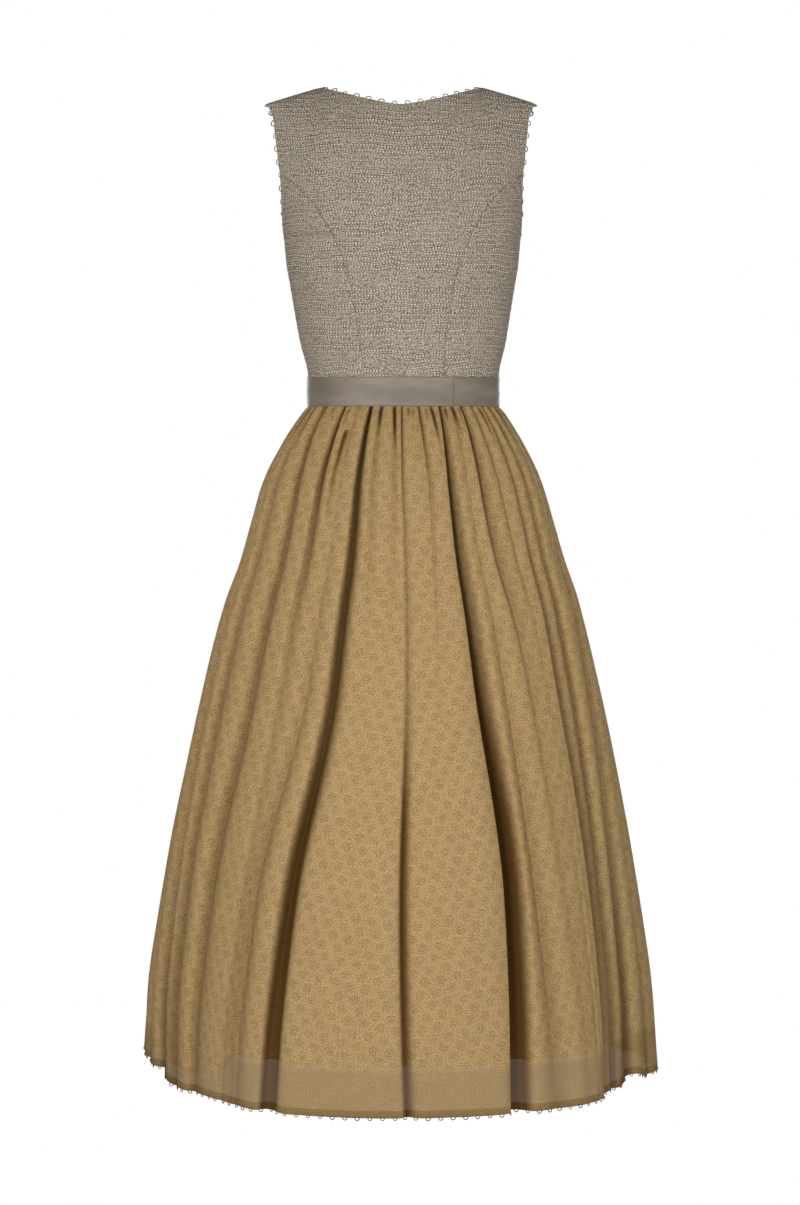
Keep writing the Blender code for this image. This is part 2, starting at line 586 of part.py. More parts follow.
def edge_frames(pieces):
    """Joins panel edges into one path of middle points, cloth normals and directions off the cloth."""
    middle, normal, off = [], [], []
    for points, normals, inside in pieces:
        along = unit(np.gradient(points, axis=0))
        away = unit(np.cross(normals, along))
        away *= np.sign(np.sum(away * (points - inside), axis=-1, keepdims=True))
        middle.append(points - normals * BODICE_WALL / 2)
        normal.append(normals)
        off.append(away)
    return tuple(np.concatenate(part) for part in (middle, normal, off))


def resampled(path, places):
    middle = path[0]
    reach = np.concatenate([[0], np.cumsum(np.linalg.norm(np.diff(middle, axis=0), axis=1))])
    return [np.stack([np.interp(places, reach, part[:, k]) for k in range(3)], axis=1) for part in path]


def path_length(path):
    return float(np.linalg.norm(np.diff(path[0], axis=0), axis=1).sum())


def picot_line(length, pitch, foot):
    """Places along an edge and heights off it. Each picot rises to a point from a foot on either side."""
    count = round(length / pitch)
    side_by_side = foot is None
    if side_by_side:
        foot = length / count / 2
    places, heights = [], []
    for i in range(count):
        middle = (i + 0.5) * length / count
        places += [middle - foot, middle]
        heights += [TRIM_EDGE, PICOT_HEIGHT]
        if not side_by_side:
            places.append(middle + foot)
            heights.append(TRIM_EDGE)
    return places, heights


def picot_strip(name, path, pitch, ring, foot=None):
    """A narrow strip along an edge, with a pointed picot in each pitch."""
    length = path_length(path)
    places, heights = picot_line(length, pitch, foot)
    if not ring:
        places, heights = [0.0, *places, length], [TRIM_EDGE, *heights, TRIM_EDGE]
    middle, normal, off = resampled(path, places)
    root = middle + off * TRIM_GAP
    tip = root + off * np.array(heights)[:, None]
    half = unit(normal) * TRIM_WALL / 2
    builder = bmesh.new()
    rows = [[builder.verts.new(point) for point in line] for line in zip(root + half, root - half, tip)]
    for here, there in zip(rows, rows[1:] + (rows[:1] if ring else [])):
        for k in range(3):
            builder.faces.new((here[k], here[(k + 1) % 3], there[(k + 1) % 3], there[k]))
    if not ring:
        builder.faces.new(rows[0])
        builder.faces.new(reversed(rows[-1]))
    return finish(name, builder, THREAD)


def closed_path(path):
    return tuple(np.concatenate([part, part[:1]]) for part in path)


def build_trims(edges, hem_outer, hem_inner):
    def reverse(piece):
        return tuple(part[::-1] for part in piece)

    neck = edges["neck"]
    path = edge_frames([neck[-1], neck["back"], reverse(neck[1])])
    picot_strip("neck_picots", path, BODICE_PICOT_PITCH, ring=False, foot=BODICE_PICOT_FOOT)
    for side, label in ((-1, "left"), (1, "right")):
        pieces = edges["armhole"][side, "back"]
        pieces += [reverse(piece) for piece in reversed(edges["armhole"][side, "front"])]
        path = closed_path(edge_frames(pieces))
        name = f"armhole_{label}_picots"
        picot_strip(name, path, BODICE_PICOT_PITCH, ring=True, foot=BODICE_PICOT_FOOT)

    middle = (hem_outer + hem_inner) / 2
    down = np.broadcast_to((0.0, 0.0, -1.0), middle.shape)
    path = closed_path((middle, unit(hem_outer - hem_inner), down))
    picot_strip("hem_picots", path, HEM_PICOT_PITCH, ring=True)


def main():
    for old in list(bpy.data.objects):
        bpy.data.objects.remove(old)
    root = bpy.data.objects.new("dirndl", None)
    bpy.context.scene.collection.objects.link(root)
    edges = build_bodice()
    build_waistband()
    hem_outer, hem_inner = build_skirt()
    build_trims(edges, hem_outer, hem_inner)


main()
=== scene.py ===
# A dirndl seen from behind, filled out as if worn: the finish of every piece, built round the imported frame.
# Metres, +Z up. The wearer faces -Y, so the photographed back faces +Y and the wearer's left is +X.
# Angles round the body are in degrees from the centre back, positive towards the wearer's right (-X).

import math
from collections import namedtuple
from functools import partial

import bpy
import numpy as np
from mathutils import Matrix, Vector


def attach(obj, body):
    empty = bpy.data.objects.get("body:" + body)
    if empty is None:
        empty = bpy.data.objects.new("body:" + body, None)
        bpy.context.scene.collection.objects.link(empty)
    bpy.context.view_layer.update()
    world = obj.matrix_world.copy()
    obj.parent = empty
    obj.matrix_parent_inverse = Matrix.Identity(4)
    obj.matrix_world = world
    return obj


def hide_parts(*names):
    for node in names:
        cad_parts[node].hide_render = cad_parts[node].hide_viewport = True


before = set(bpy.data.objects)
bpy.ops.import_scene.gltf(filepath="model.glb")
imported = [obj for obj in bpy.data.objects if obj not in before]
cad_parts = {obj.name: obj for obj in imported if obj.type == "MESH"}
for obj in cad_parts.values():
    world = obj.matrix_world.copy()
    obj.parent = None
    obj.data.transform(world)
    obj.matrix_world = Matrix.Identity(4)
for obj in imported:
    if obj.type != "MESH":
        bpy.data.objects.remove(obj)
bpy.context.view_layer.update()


# An sRGB hex colour as linear RGBA
def toLinear(hexColour):
    values = [int(hexColour[i:i + 2], 16) / 255 for i in (1, 3, 5)]
    return (*[v / 12.92 if v <= 0.04045 else ((v + 0.055) / 1.055) ** 2.4 for v in values], 1.0)


# Adds a node of a kind, which is its type and its settings. Inputs come in their order, or as one dictionary
# by name or number. Each is a number, a colour, a vector, a socket, a node, which gives its first output in
# use, or a list of a kind and inputs, which becomes a node of its own.
def addNode(tree, kind, *inputs):
    node = tree.nodes.new(kind[0])
    for name, value in kind[1].items():
        setattr(node, name, value)
    byKey = inputs[0] if inputs and isinstance(inputs[0], dict) else dict(enumerate(inputs))
    for key, value in byKey.items():
        if isinstance(value, list):
            value = addNode(tree, *value)
        if isinstance(value, bpy.types.Node):
            value = next(socket for socket in value.outputs if socket.enabled)
        if isinstance(value, bpy.types.NodeSocket):
            tree.links.new(value, node.inputs[key])
        else:
            node.inputs[key].default_value = value
    return node


# Kinds of node
add, subtract, multiply, multiplyAdd, divide, floor, fraction, absolute, squareRoot = [
    ("ShaderNodeMath", {"operation": name}) for name in (
        "ADD", "SUBTRACT", "MULTIPLY", "MULTIPLY_ADD", "DIVIDE", "FLOOR", "FRACT", "ABSOLUTE", "SQRT")]
sine, cosine, direction = [("ShaderNodeMath", {"operation": name}) for name in ("SINE", "COSINE", "ARCTAN2")]
vectorAdd, vectorMultiply, vectorMultiplyAdd, vectorScale, dotProduct = [
    ("ShaderNodeVectorMath", {"operation": name}) for name in (
        "ADD", "MULTIPLY", "MULTIPLY_ADD", "SCALE", "DOT_PRODUCT")]
separate = ("ShaderNodeSeparateXYZ", {})
combine = ("ShaderNodeCombineXYZ", {})
smoothStep = ("ShaderNodeMapRange", {"interpolation_type": "SMOOTHSTEP"})  # a value, where it is 0, where 1
colourMix = ("ShaderNodeMix", {"data_type": "RGBA"})  # takes a share at 0 and colours at 6 and 7
noise = ("ShaderNodeTexNoise", {})
chance1D = ("ShaderNodeTexWhiteNoise", {"noise_dimensions": "1D"})
chance2D = ("ShaderNodeTexWhiteNoise", {"noise_dimensions": "2D"})
clothPlace = ("ShaderNodeUVMap", {"uv_map": "UVMap"})  # a piece's own places on the flat cloth, in metres


def unit(vectors):
    return vectors / np.maximum(np.linalg.norm(vectors, axis=-1, keepdims=True), 1e-12)


# A curve through the points that never overshoots them
def monotone(xs, ys, at):
    xs, ys = np.asarray(xs, float), np.asarray(ys, float)
    at = np.clip(np.asarray(at, float), xs[0], xs[-1])
    step = np.diff(xs)
    secant = np.diff(ys) / step
    slope = np.zeros_like(ys)
    slope[0], slope[-1] = secant[0], secant[-1]
    sameWay = secant[:-1] * secant[1:] > 0
    slope[1:-1][sameWay] = 2 / (1 / secant[:-1][sameWay] + 1 / secant[1:][sameWay])
    i = np.clip(np.searchsorted(xs, at, side="right") - 1, 0, len(step) - 1)
    h = step[i]
    f = (at - xs[i]) / h
    return ((1 + 2 * f) * (1 - f) ** 2 * ys[i] + f * (1 - f) ** 2 * h * slope[i]
            + f**2 * (3 - 2 * f) * ys[i + 1] + f**2 * (f - 1) * h * slope[i + 1])


def smooth(rows, column, at):
    rows = sorted(rows, key=lambda row: row.z)
    return monotone([row.z for row in rows], [getattr(row, column) for row in rows], at)


# From 0 at one value to 1 at another, and level beyond them
def rising(value, start, end):
    return np.clip((value - start) / (end - start), 0, 1)


# Smooth unevenness from -1 to 1 over places given in waves, the same each run
def waves(seed, *places):
    chance = np.random.default_rng(seed)
    total = 0
    for octave in (1.0, 1.9, 3.3):
        for _ in range(2):
            turn = chance.uniform(0, 2 * math.pi)
            heading = chance.uniform(-1, 1, len(places))
            phase = sum(h * p for h, p in zip(heading, places)) * octave * 2 * math.pi
            total = total + np.sin(phase + turn) / octave
    return total / 3.6


def gridNormals(points, ring=False):
    if ring:
        across = np.roll(points, -1, axis=1) - np.roll(points, 1, axis=1)
    else:
        across = np.gradient(points, axis=1)
    return unit(np.cross(across, np.gradient(points, axis=0)))


# A closed thin wall behind a grid of outer points, with rounded edges. Rows run up or down, columns across.
# uv is a place for each grid point. faceUv gives the places left and right of each strip between two columns,
# for cloth whose pattern breaks in a fold. values names attributes, each with a number for each grid point.
def clothShell(name, outer, normals, wall, material, uv=None, faceUv=None, ring=False, values=()):
    rows, columns = outer.shape[:2]
    away = np.zeros_like(outer)
    away[0] += unit(outer[0] - outer[1])
    away[-1] += unit(outer[-1] - outer[-2])
    if not ring:
        away[:, 0] += unit(outer[:, 0] - outer[:, 1])
        away[:, -1] += unit(outer[:, -1] - outer[:, -2])
    inner = outer - normals * wall
    middle = (outer + inner) / 2
    drawnIn = away * wall * 0.35  # the faces stop short of the edge, which the middle line rounds off
    points = np.concatenate([grid.reshape(-1, 3) for grid in (outer - drawnIn, inner - drawnIn, middle)])
    count = rows * columns
    index = np.arange(count).reshape(rows, columns)
    right = np.roll(index, -1, axis=1) if ring else index[:, 1:]
    left = index if ring else index[:, :-1]
    front = np.stack([left[:-1], right[:-1], right[1:], left[1:]], axis=-1).reshape(-1, 4)
    back = front[:, ::-1] + count
    edges = [np.stack([left[0], right[0]], -1), np.stack([right[-1], left[-1]], -1)]
    if not ring:
        edges += [np.stack([index[1:, 0], index[:-1, 0]], -1), np.stack([index[:-1, -1], index[1:, -1]], -1)]
    a, b = np.concatenate(edges).T
    strips = np.concatenate([np.stack([b, a, a + 2 * count, b + 2 * count], -1),
                             np.stack([b + 2 * count, a + 2 * count, a + count, b + count], -1)])
    used, compact = np.unique(np.concatenate([front, back, strips]), return_inverse=True)
    mesh = bpy.data.meshes.new(name)
    mesh.from_pydata(points[used].tolist(), [], compact.reshape(-1, 4).tolist())
    grid = used % count
    corners = np.empty(len(mesh.loops), np.int32)
    mesh.loops.foreach_get("vertex_index", corners)
    corners = grid[corners]
    if faceUv is not None:
        places = stripPlaces(corners, faceUv, columns, ring)
    else:
        places = uv.reshape(-1, 2)[corners]
    mesh.uv_layers.new(name="UVMap").data.foreach_set("uv", places.astype(np.float32).ravel())
    for label, numbers in dict(values).items():
        layer = mesh.attributes.new(label, "FLOAT", "POINT")
        layer.data.foreach_set("value", np.asarray(numbers, np.float32).reshape(-1)[grid])
    mesh.materials.append(material)
    mesh.polygons.foreach_set("use_smooth", [True] * len(mesh.polygons))
    mesh.update()
    piece = bpy.data.objects.new(name, mesh)
    bpy.context.scene.collection.objects.link(piece)
    return piece


# Gives each face the pattern places of its own strip, so that the pattern may break between strips
def stripPlaces(corners, faceUv, columns, ring):
    leftUv, rightUv = faceUv
    place = corners.reshape(-1, 4)
    row, column = place // columns, place % columns
    low, high = column.min(1), column.max(1)
    strip = np.where(ring & (high - low > 1), high, low)
    if not ring:
        strip = np.where(low == high, np.minimum(low, columns - 2), strip)
    onLeft = column == strip[:, None]
    strip = np.broadcast_to(strip[:, None], row.shape)
    return np.where(onLeft[..., None], leftUv[row, strip], rightUv[row, strip])


view = {
    "distance": 4.3,  # from the dress's middle to the lens
    "height": -0.3963,  # level with the waistband
    "aside": 0.0019,
    "focalPixels": 3359.0,  # focal length in pixels of the 800 x 1205 frame
    "waistAboveMiddle": 202.5,  # pixels from the frame's middle up to the camera's own level
    "frameHeight": 1205,
    "sensor": 36.0,
}


def buildCamera():
    data = bpy.data.cameras.new("camera")
    data.sensor_width = view["sensor"]
    data.lens = view["sensor"] * view["focalPixels"] / view["frameHeight"]
    camera = bpy.data.objects.new("camera", data)
    camera.location = (view["aside"], view["distance"], view["height"])
    down = math.atan(view["waistAboveMiddle"] / view["focalPixels"])
    camera.rotation_euler = (math.pi / 2 - down, 0, math.pi)
    bpy.context.scene.collection.objects.link(camera)
    bpy.context.scene.camera = camera


studio = {
    "floorLevel": -1.43,  # so that the shoulders are as high as on somebody 1.7 m tall
    "floorColour": "#F4F4F4",
    "floorRoughness": 0.9,
    "floorReach": 0.38,
    "floorGlow": 0.65,  # holds the floor under the hem as pale as the wall behind
    "wallColour": (1.0, 1.0, 1.0, 1.0),
    "ambient": 0.22,
    "lamps": (  # name, place, size, watts
        ("key", (0.80, 2.5, -0.12), 0.7, 30.0),
        ("fill", (-0.80, 2.5, -0.22), 0.7, 19.0),
        ("side fill", (-2.3, 1.7, -1.3), 1.2, 17.0),
        ("second side fill", (2.3, 1.7, -1.3), 1.2, 14.5),
        ("front key", (-0.8, -2.6, -0.3), 0.9, 30.0),
        ("front fill", (0.9, -2.6, -0.4), 0.9, 19.0),
    ),
    "aim": (0.0, 0.0, -0.55),
}


# Gives a material, its shader, and addNode for its nodes
def newMaterial(name):
    material = bpy.data.materials.new(name)
    material.use_nodes = True
    tree = material.node_tree
    return material, partial(addNode, tree), tree.nodes["Principled BSDF"]


# Links a cloth's colour and relief to its shader and sets what is the same all over it
def finishCloth(node, shader, colour, height, finish):
    bump = node(("ShaderNodeBump", {}),
                {"Strength": finish["bump"], "Distance": finish["relief"], "Height": height})
    links = shader.id_data.links
    links.new(colour.outputs[2], shader.inputs["Base Color"])
    links.new(bump.outputs[0], shader.inputs["Normal"])
    shader.inputs["Roughness"].default_value = finish["roughness"]
    shader.inputs["Specular IOR Level"].default_value = finish["specular"]


def buildStudio():
    for name, place, size, watts in studio["lamps"]:
        data = bpy.data.lights.new(name, "AREA")
        data.shape = "SQUARE"
        data.size = size
        data.energy = watts
        lamp = bpy.data.objects.new(name, data)
        lamp.location = place
        lamp.rotation_euler = (Vector(studio["aim"]) - Vector(place)).to_track_quat("-Z", "Y").to_euler()
        bpy.context.scene.collection.objects.link(lamp)

    world = bpy.data.worlds.new("studio")
    world.use_nodes = True
    tree = world.node_tree
    tree.nodes.clear()
    background = ("ShaderNodeBackground", {})
    seen = addNode(tree, background, studio["wallColour"], 1.0)
    lit = addNode(tree, background, studio["wallColour"], studio["ambient"])
    rays = addNode(tree, ("ShaderNodeLightPath", {})).outputs["Is Camera Ray"]
    addNode(tree, ("ShaderNodeOutputWorld", {}), [("ShaderNodeMixShader", {}), rays, lit, seen])
    bpy.context.scene.world = world

    # Studio paper: matt white card
    material, _, shader = newMaterial("studio paper")
    shader.inputs["Base Color"].default_value = toLinear(studio["floorColour"])
    shader.inputs["Roughness"].default_value = studio["floorRoughness"]
    shader.inputs["Emission Color"].default_value = studio["wallColour"]
    shader.inputs["Emission Strength"].default_value = studio["floorGlow"]
    mesh = bpy.data.meshes.new("floor")
    reach, height = studio["floorReach"], studio["floorLevel"]
    corners = [(x * reach, y * reach, height) for x, y in ((-1, -1), (1, -1), (1, 1), (-1, 1))]
    mesh.from_pydata(corners, [], [(0, 1, 2, 3)])
    mesh.materials.append(material)
    ground = bpy.data.objects.new("floor", mesh)
    bpy.context.scene.collection.objects.link(ground)
    bpy.context.scene.view_settings.view_transform = "Standard"


boucle = {
    "body": "#9F907C",
    "gap": "#4A3F30",
    "nub": "#F6EBD8",
    "olive": "#938B72",
    "rose": "#AE9888",
    "loopPitch": 0.0038,  # from one loop to the next along a weft
    "rowPitch": 0.0064,  # from one effect weft to the next
    "loopAcross": 0.0013,  # half width and half height of a loop, drawn a little large so that they show
    "loopUp": 0.0012,
    "loopEdge": (0.4, 1.3),  # where a loop fades, in half sizes from its middle
    "rowEdge": (0.6, 1.8),  # where the dark round a row of loops fades
    "groundPitch": 0.0021,  # between the small loops of the ground
    "groundLoop": 0.4,  # half size of one of them, as a share of the pitch
    "runLength": 0.045,  # how long a run of bright loops is
    "runEdge": (0.36, 0.52),
    "speck": 0.0019,
    "speckDark": (0.58, 0.34),  # the values of the noise from where to where it grows dark, and pale
    "speckPale": (0.52, 0.70),
    "mottle": 26.0,  # patches of olive and rose for each metre
    "mottleEdge": (0.35, 0.65),
    "slubs": (60.0, 330.0, 1.0),  # thick places in the weft for each metre, across and up
    "slubPale": (0.52, 0.72),
    "slubDark": (0.46, 0.26),
    "drift": (18.0, 5.0, 1.0),  # how often a weft strays up and down for each metre, across and up
    "wander": 0.0030,  # and how far
    "roughness": 0.92,
    "specular": 0.2,
    "bump": 1.0,
    "relief": 0.0012,
}


# Rows of small oval loops. Gives how much of a loop is at a place, its row, a chance number for each loop,
# and how near its row the place is.
def loopRows(node, place, pitch, rowPitch, across, up):
    split = node(separate, place)
    rowPlace = node(divide, split.outputs[1], rowPitch)
    row = node(floor, rowPlace)
    start = node(chance1D, {"W": row})
    loopPlace = node(add, [divide, split.outputs[0], pitch], start)
    x = node(multiply, [subtract, [fraction, loopPlace], 0.5], pitch / across)
    y = node(multiply, [subtract, [fraction, rowPlace], 0.5], rowPitch / up)
    reach = node(squareRoot, [add, [multiply, x, x], [multiply, y, y]])
    loop = node(subtract, 1.0, [smoothStep, reach, *boucle["loopEdge"]])
    each = node(chance2D, {"Vector": [combine, [floor, loopPlace], row]})
    nearRow = node(subtract, 1.0, [smoothStep, [absolute, y], *boucle["rowEdge"]])
    return loop, row, each, nearRow


# Lays colours over a first one, each by its share and amount
def layColours(node, colour, layers):
    for share, amount, tint in layers:
        colour = node(colourMix, {0: [multiply, share, amount], 6: colour, 7: tint})
    return colour


# Boucle tweed of cotton and wool: a looped effect yarn gives broken rows of pale nubs on a speckled ground.
def boucleMaterial():
    material, node, shader = newMaterial("boucle tweed")
    place = node(clothPlace)
    drift = node(noise, {"Vector": [vectorMultiply, place, boucle["drift"]], "Scale": 1.0})
    lift = node(multiply, [subtract, drift, 0.5], boucle["wander"] * 6)
    strayed = node(vectorAdd, place, [combine, 0.0, lift])
    loop, row, each, nearRow = loopRows(node, strayed, boucle["loopPitch"], boucle["rowPitch"],
                                        boucle["loopAcross"], boucle["loopUp"])
    pitch, small = boucle["groundPitch"], boucle["groundPitch"] * boucle["groundLoop"]
    ground, _, groundEach, _ = loopRows(node, strayed, pitch, pitch, small, small)

    # the loops are bright only in runs, and more so in some wefts
    across = node(separate, place).outputs[0]
    run = node(combine, [divide, across, boucle["runLength"]], [multiply, row, 7.31])
    runs = node(smoothStep, [noise, {"Vector": run, "Scale": 1.0}], *boucle["runEdge"])
    chosen = node(chance1D, {"W": [add, row, 0.37]})
    runs = node(multiply, runs, [multiplyAdd, chosen, 0.95, 0.3])
    bright = node(multiply, [multiply, loop, runs], [multiplyAdd, each, 0.5, 0.75])
    between = node(multiply, [multiply, [subtract, 1.0, loop], nearRow], runs)

    speck = node(noise, {"Vector": [vectorMultiply, place, (0.8, 1.2, 1.0)], "Scale": 1 / boucle["speck"],
                         "Roughness": 0.75})
    mottle = node(noise, {"Vector": [vectorMultiply, place, (1.0, 1.6, 1.0)], "Scale": boucle["mottle"],
                          "Detail": 1.0})
    slub = node(noise, {"Vector": [vectorMultiply, strayed, boucle["slubs"]], "Scale": 1.0, "Detail": 1.0})
    body, gap, nub, olive, rose = [toLinear(boucle[name]) for name in ("body", "gap", "nub", "olive", "rose")]
    colour = node(colourMix, {0: [smoothStep, mottle, *boucle["mottleEdge"]], 6: olive, 7: rose})
    colour = layColours(node, colour, (
        (0.5, 1.0, body),
        ([smoothStep, speck, *boucle["speckDark"]], 1.0, gap),
        ([smoothStep, speck, *boucle["speckPale"]], 0.8, nub),
        ([smoothStep, slub, *boucle["slubPale"]], 0.10, nub),
        ([smoothStep, slub, *boucle["slubDark"]], 0.16, gap),
        (ground, [multiply, groundEach, 0.5], nub),
        (between, 0.68, gap),
        (bright, 1.0, nub),
    ))
    height = node(add, [add, [multiply, speck, 0.8], [multiply, ground, 0.4]], bright)
    finishCloth(node, shader, colour, height, boucle)
    return material


satin = {
    "body": "#867B6D",
    "shade": "#73695C",
    "sheenPatches": (14.0, 45.0, 1.0),  # painted patches of sheen, lighter and darker, for each metre along the ribbon and up
    "sheenPatchEdge": (0.35, 0.7),
    "ribs": (60.0, 2600.0, 1.0),  # floats for each metre, along the ribbon and up
    "roughness": 0.48,
    "specular": 0.35,
    "sheen": 0.2,
    "bump": 0.3,
    "relief": 0.0003,
}


# Polyester satin ribbon: long floats along the band give a soft lengthwise lustre, with painted patches of
# sheen in its colour.
def satinMaterial():
    material, node, shader = newMaterial("satin ribbon")
    place = node(clothPlace)
    cloud = node(noise, {"Vector": [vectorMultiply, place, satin["sheenPatches"]], "Scale": 1.0})
    rib = node(noise, {"Vector": [vectorMultiply, place, satin["ribs"]], "Scale": 1.0, "Detail": 1.0})
    # painted sheen: patches of the ribbon's colour lighter and darker
    colour = node(colourMix, {0: [smoothStep, cloud, *satin["sheenPatchEdge"]], 6: toLinear(satin["shade"]),
                              7: toLinear(satin["body"])})
    finishCloth(node, shader, colour, rib, satin)
    shader.inputs["Sheen Weight"].default_value = satin["sheen"]
    return material


organza = {
    "body": "#BB9B69",
    "light": "#D8BC8C",
    "motif": "#846A3E",
    # painted shade: the colour laid into the valleys of the folds
    "fold": "#5C3C15",
    "hemFold": "#7E6638",
    "repeatA": (0.0135, -0.0112),  # from one rosette to the next, across and up
    "repeatB": (0.0064, 0.0150),
    "rosette": 0.0063,  # radius
    "petals": 6,
    "petalDepth": 0.14,  # as a share of the radius
    "discEdge": (0.7, 1.2),
    "eye": 0.42,  # radius of the pale ring round a rosette's eye, as a share of the whole
    "eyeEdge": (0.03, 0.22),
    "eyeShare": 0.45,
    "curl": 0.0080,  # radius of the pale curls round a rosette
    "curlWobble": 0.0009,
    "curlWidth": 0.0008,
    "bend": (0.006, 0.006, 0.0),  # how far the loose weave shifts the pattern
    "grain": 0.0015,  # coarser than the real crepe threads, which are too fine to show
    "grainPale": (0.50, 0.66),
    "grainDark": (0.53, 0.34),
    "unlinedPattern": 0.28,  # how much of the pattern shows where no lining lies behind it
    "hemTurn": 0.009,
    "hemSoft": 0.0006,
    # values of the painted fold shade from where the painted shade starts to where it is whole
    "paintedShadeEdge": (0.0, 0.9),
    "alpha": 0.82,
    "roughness": 0.62,
    "specular": 0.08,
    "bump": 0.5,
    "relief": 0.0004,
}


# A lattice of small rosettes, each a ring of petals round an eye, and the pale curls between them
def rosetteMasks(node, place):
    (ax, ay), (bx, by) = organza["repeatA"], organza["repeatB"]
    area = ax * by - ay * bx
    a = node(subtract, [fraction, [dotProduct, place, (by / area, -bx / area, 0)]], 0.5)
    b = node(subtract, [fraction, [dotProduct, place, (-ay / area, ax / area, 0)]], 0.5)
    x = node(add, [multiply, a, ax], [multiply, b, bx])
    y = node(add, [multiply, a, ay], [multiply, b, by])
    reach = node(squareRoot, [add, [multiply, x, x], [multiply, y, y]])
    turn = node(direction, y, x)
    petal = organza["rosette"] * organza["petalDepth"]
    edge = node(multiplyAdd, [cosine, [multiply, turn, organza["petals"]]], petal, organza["rosette"] - petal)
    share = node(divide, reach, edge)
    disc = node(subtract, 1.0, [smoothStep, share, *organza["discEdge"]])
    fromRing = node(absolute, [subtract, share, organza["eye"]])
    ring = node(subtract, 1.0, [smoothStep, fromRing, *organza["eyeEdge"]])
    rosette = node(multiply, disc, [multiplyAdd, ring, -organza["eyeShare"], 1.0])
    middle = node(multiplyAdd, [sine, [multiply, turn, 3.0]], organza["curlWobble"], organza["curl"])
    fromCurl = node(absolute, [subtract, reach, middle])
    width = organza["curlWidth"]
    curl = node(subtract, 1.0, [smoothStep, fromCurl, width * 0.3, width * 1.3])
    return rosette, curl


# Silk and polyester organza with a jacquard rosette: sheer, slightly grainy, matt against the light, with
# shade painted into its folds.
def organzaMaterial():
    material, node, shader = newMaterial("jacquard organza")
    place = node(clothPlace)
    bend = node(noise, {"Vector": place, "Scale": 90.0, "Detail": 1.0}).outputs["Color"]
    rosette, curl = rosetteMasks(node, node(vectorMultiplyAdd, bend, organza["bend"], place))
    grain = node(noise, {"Vector": place, "Scale": 1 / organza["grain"], "Roughness": 0.7})
    cloud = node(noise, {"Vector": place, "Scale": 45.0})
    # the first attribute is the share of painted shade that a point gets for lying in a fold
    fold, fromHem, lined = [node(("ShaderNodeAttribute", {"attribute_name": name})).outputs["Fac"]
                            for name in ("paintedFoldShade", "fromHem", "lined")]
    pattern = node(multiplyAdd, lined, 1 - organza["unlinedPattern"], organza["unlinedPattern"])
    motifs = node(multiply, rosette, [smoothStep, grain, 0.62, 0.40])
    curls = node(multiply, curl, [smoothStep, grain, 0.42, 0.6])
    hem, soft = organza["hemTurn"], organza["hemSoft"]
    light, motif, hemFold, deep = [toLinear(organza[name]) for name in ("light", "motif", "hemFold", "fold")]
    colour = layColours(node, toLinear(organza["body"]), (
        ([smoothStep, cloud, 0.35, 0.7], 0.18, motif),
        ([multiply, curls, pattern], 0.65, light),
        ([multiply, motifs, pattern], 0.62, motif),
        ([smoothStep, grain, *organza["grainDark"]], 0.7, motif),
        ([smoothStep, grain, *organza["grainPale"]], 0.7, light),
        ([smoothStep, fromHem, hem + soft, hem - soft], 0.42, hemFold),
        ([subtract, 1.0, lined], 0.42, motif),
        # painted shade, darker the deeper a point lies in a fold
        ([smoothStep, fold, *organza["paintedShadeEdge"]], 0.94, deep),
    ))
    height = node(add, grain, [multiply, curls, 0.8])
    finishCloth(node, shader, colour, height, organza)
    shader.inputs["Alpha"].default_value = organza["alpha"]
    return material


taffeta = {
    "body": "#A28250",
    "shade": "#8B6C3D",
    # painted shade: the colour laid into the valleys of the folds
    "fold": "#46300F",
    "weave": (300.0, 1400.0, 1.0),  # threads for each metre, across and up, drawn coarser than real to show
    "weaveEdge": (0.3, 0.7),
    # values of the painted fold shade from where the painted shade starts to where it is whole
    "paintedShadeEdge": (0.0, 0.9),
    "roughness": 0.6,
    "specular": 0.1,
    "bump": 0.2,
    "relief": 0.0002,
}


# Plain acetate taffeta, a dull gold ground that the sheer layer is seen against, with shade painted into its
# folds.
def taffetaMaterial():
    material, node, shader = newMaterial("acetate taffeta")
    weavePlace = [vectorMultiply, [clothPlace], taffeta["weave"]]
    weave = node(noise, {"Vector": weavePlace, "Scale": 1.0, "Detail": 1.0})
    fold = node(("ShaderNodeAttribute", {"attribute_name": "paintedFoldShade"})).outputs["Fac"]
    colour = layColours(node, toLinear(taffeta["shade"]), (
        ([smoothStep, weave, *taffeta["weaveEdge"]], 1.0, toLinear(taffeta["body"])),
        # painted shade, darker the deeper a point lies in a fold
        ([smoothStep, fold, *taffeta["paintedShadeEdge"]], 0.94, toLinear(taffeta["fold"])),
    ))
    finishCloth(node, shader, colour, weave, taffeta)
    return material


thread = {"body": "#544A3A", "shade": "#383024", "plies": 900.0, "plyEdge": (0.35, 0.65), "roughness": 0.75}


# Mercerised cotton crochet thread: two twisted plies give it a fine light and dark.
def threadMaterial():
    material, node, shader = newMaterial("cotton thread")
    place = node(("ShaderNodeTexCoord", {})).outputs["Object"]
    ply = node(noise, {"Vector": place, "Scale": thread["plies"], "Detail": 1.0})
    colour = node(colourMix, {0: [smoothStep, ply, *thread["plyEdge"]], 6: toLinear(thread["shade"]),
                              7: toLinear(thread["body"])})
    shader.id_data.links.new(colour.outputs[2], shader.inputs["Base Color"])
    shader.inputs["Roughness"].default_value = thread["roughness"]
    return material


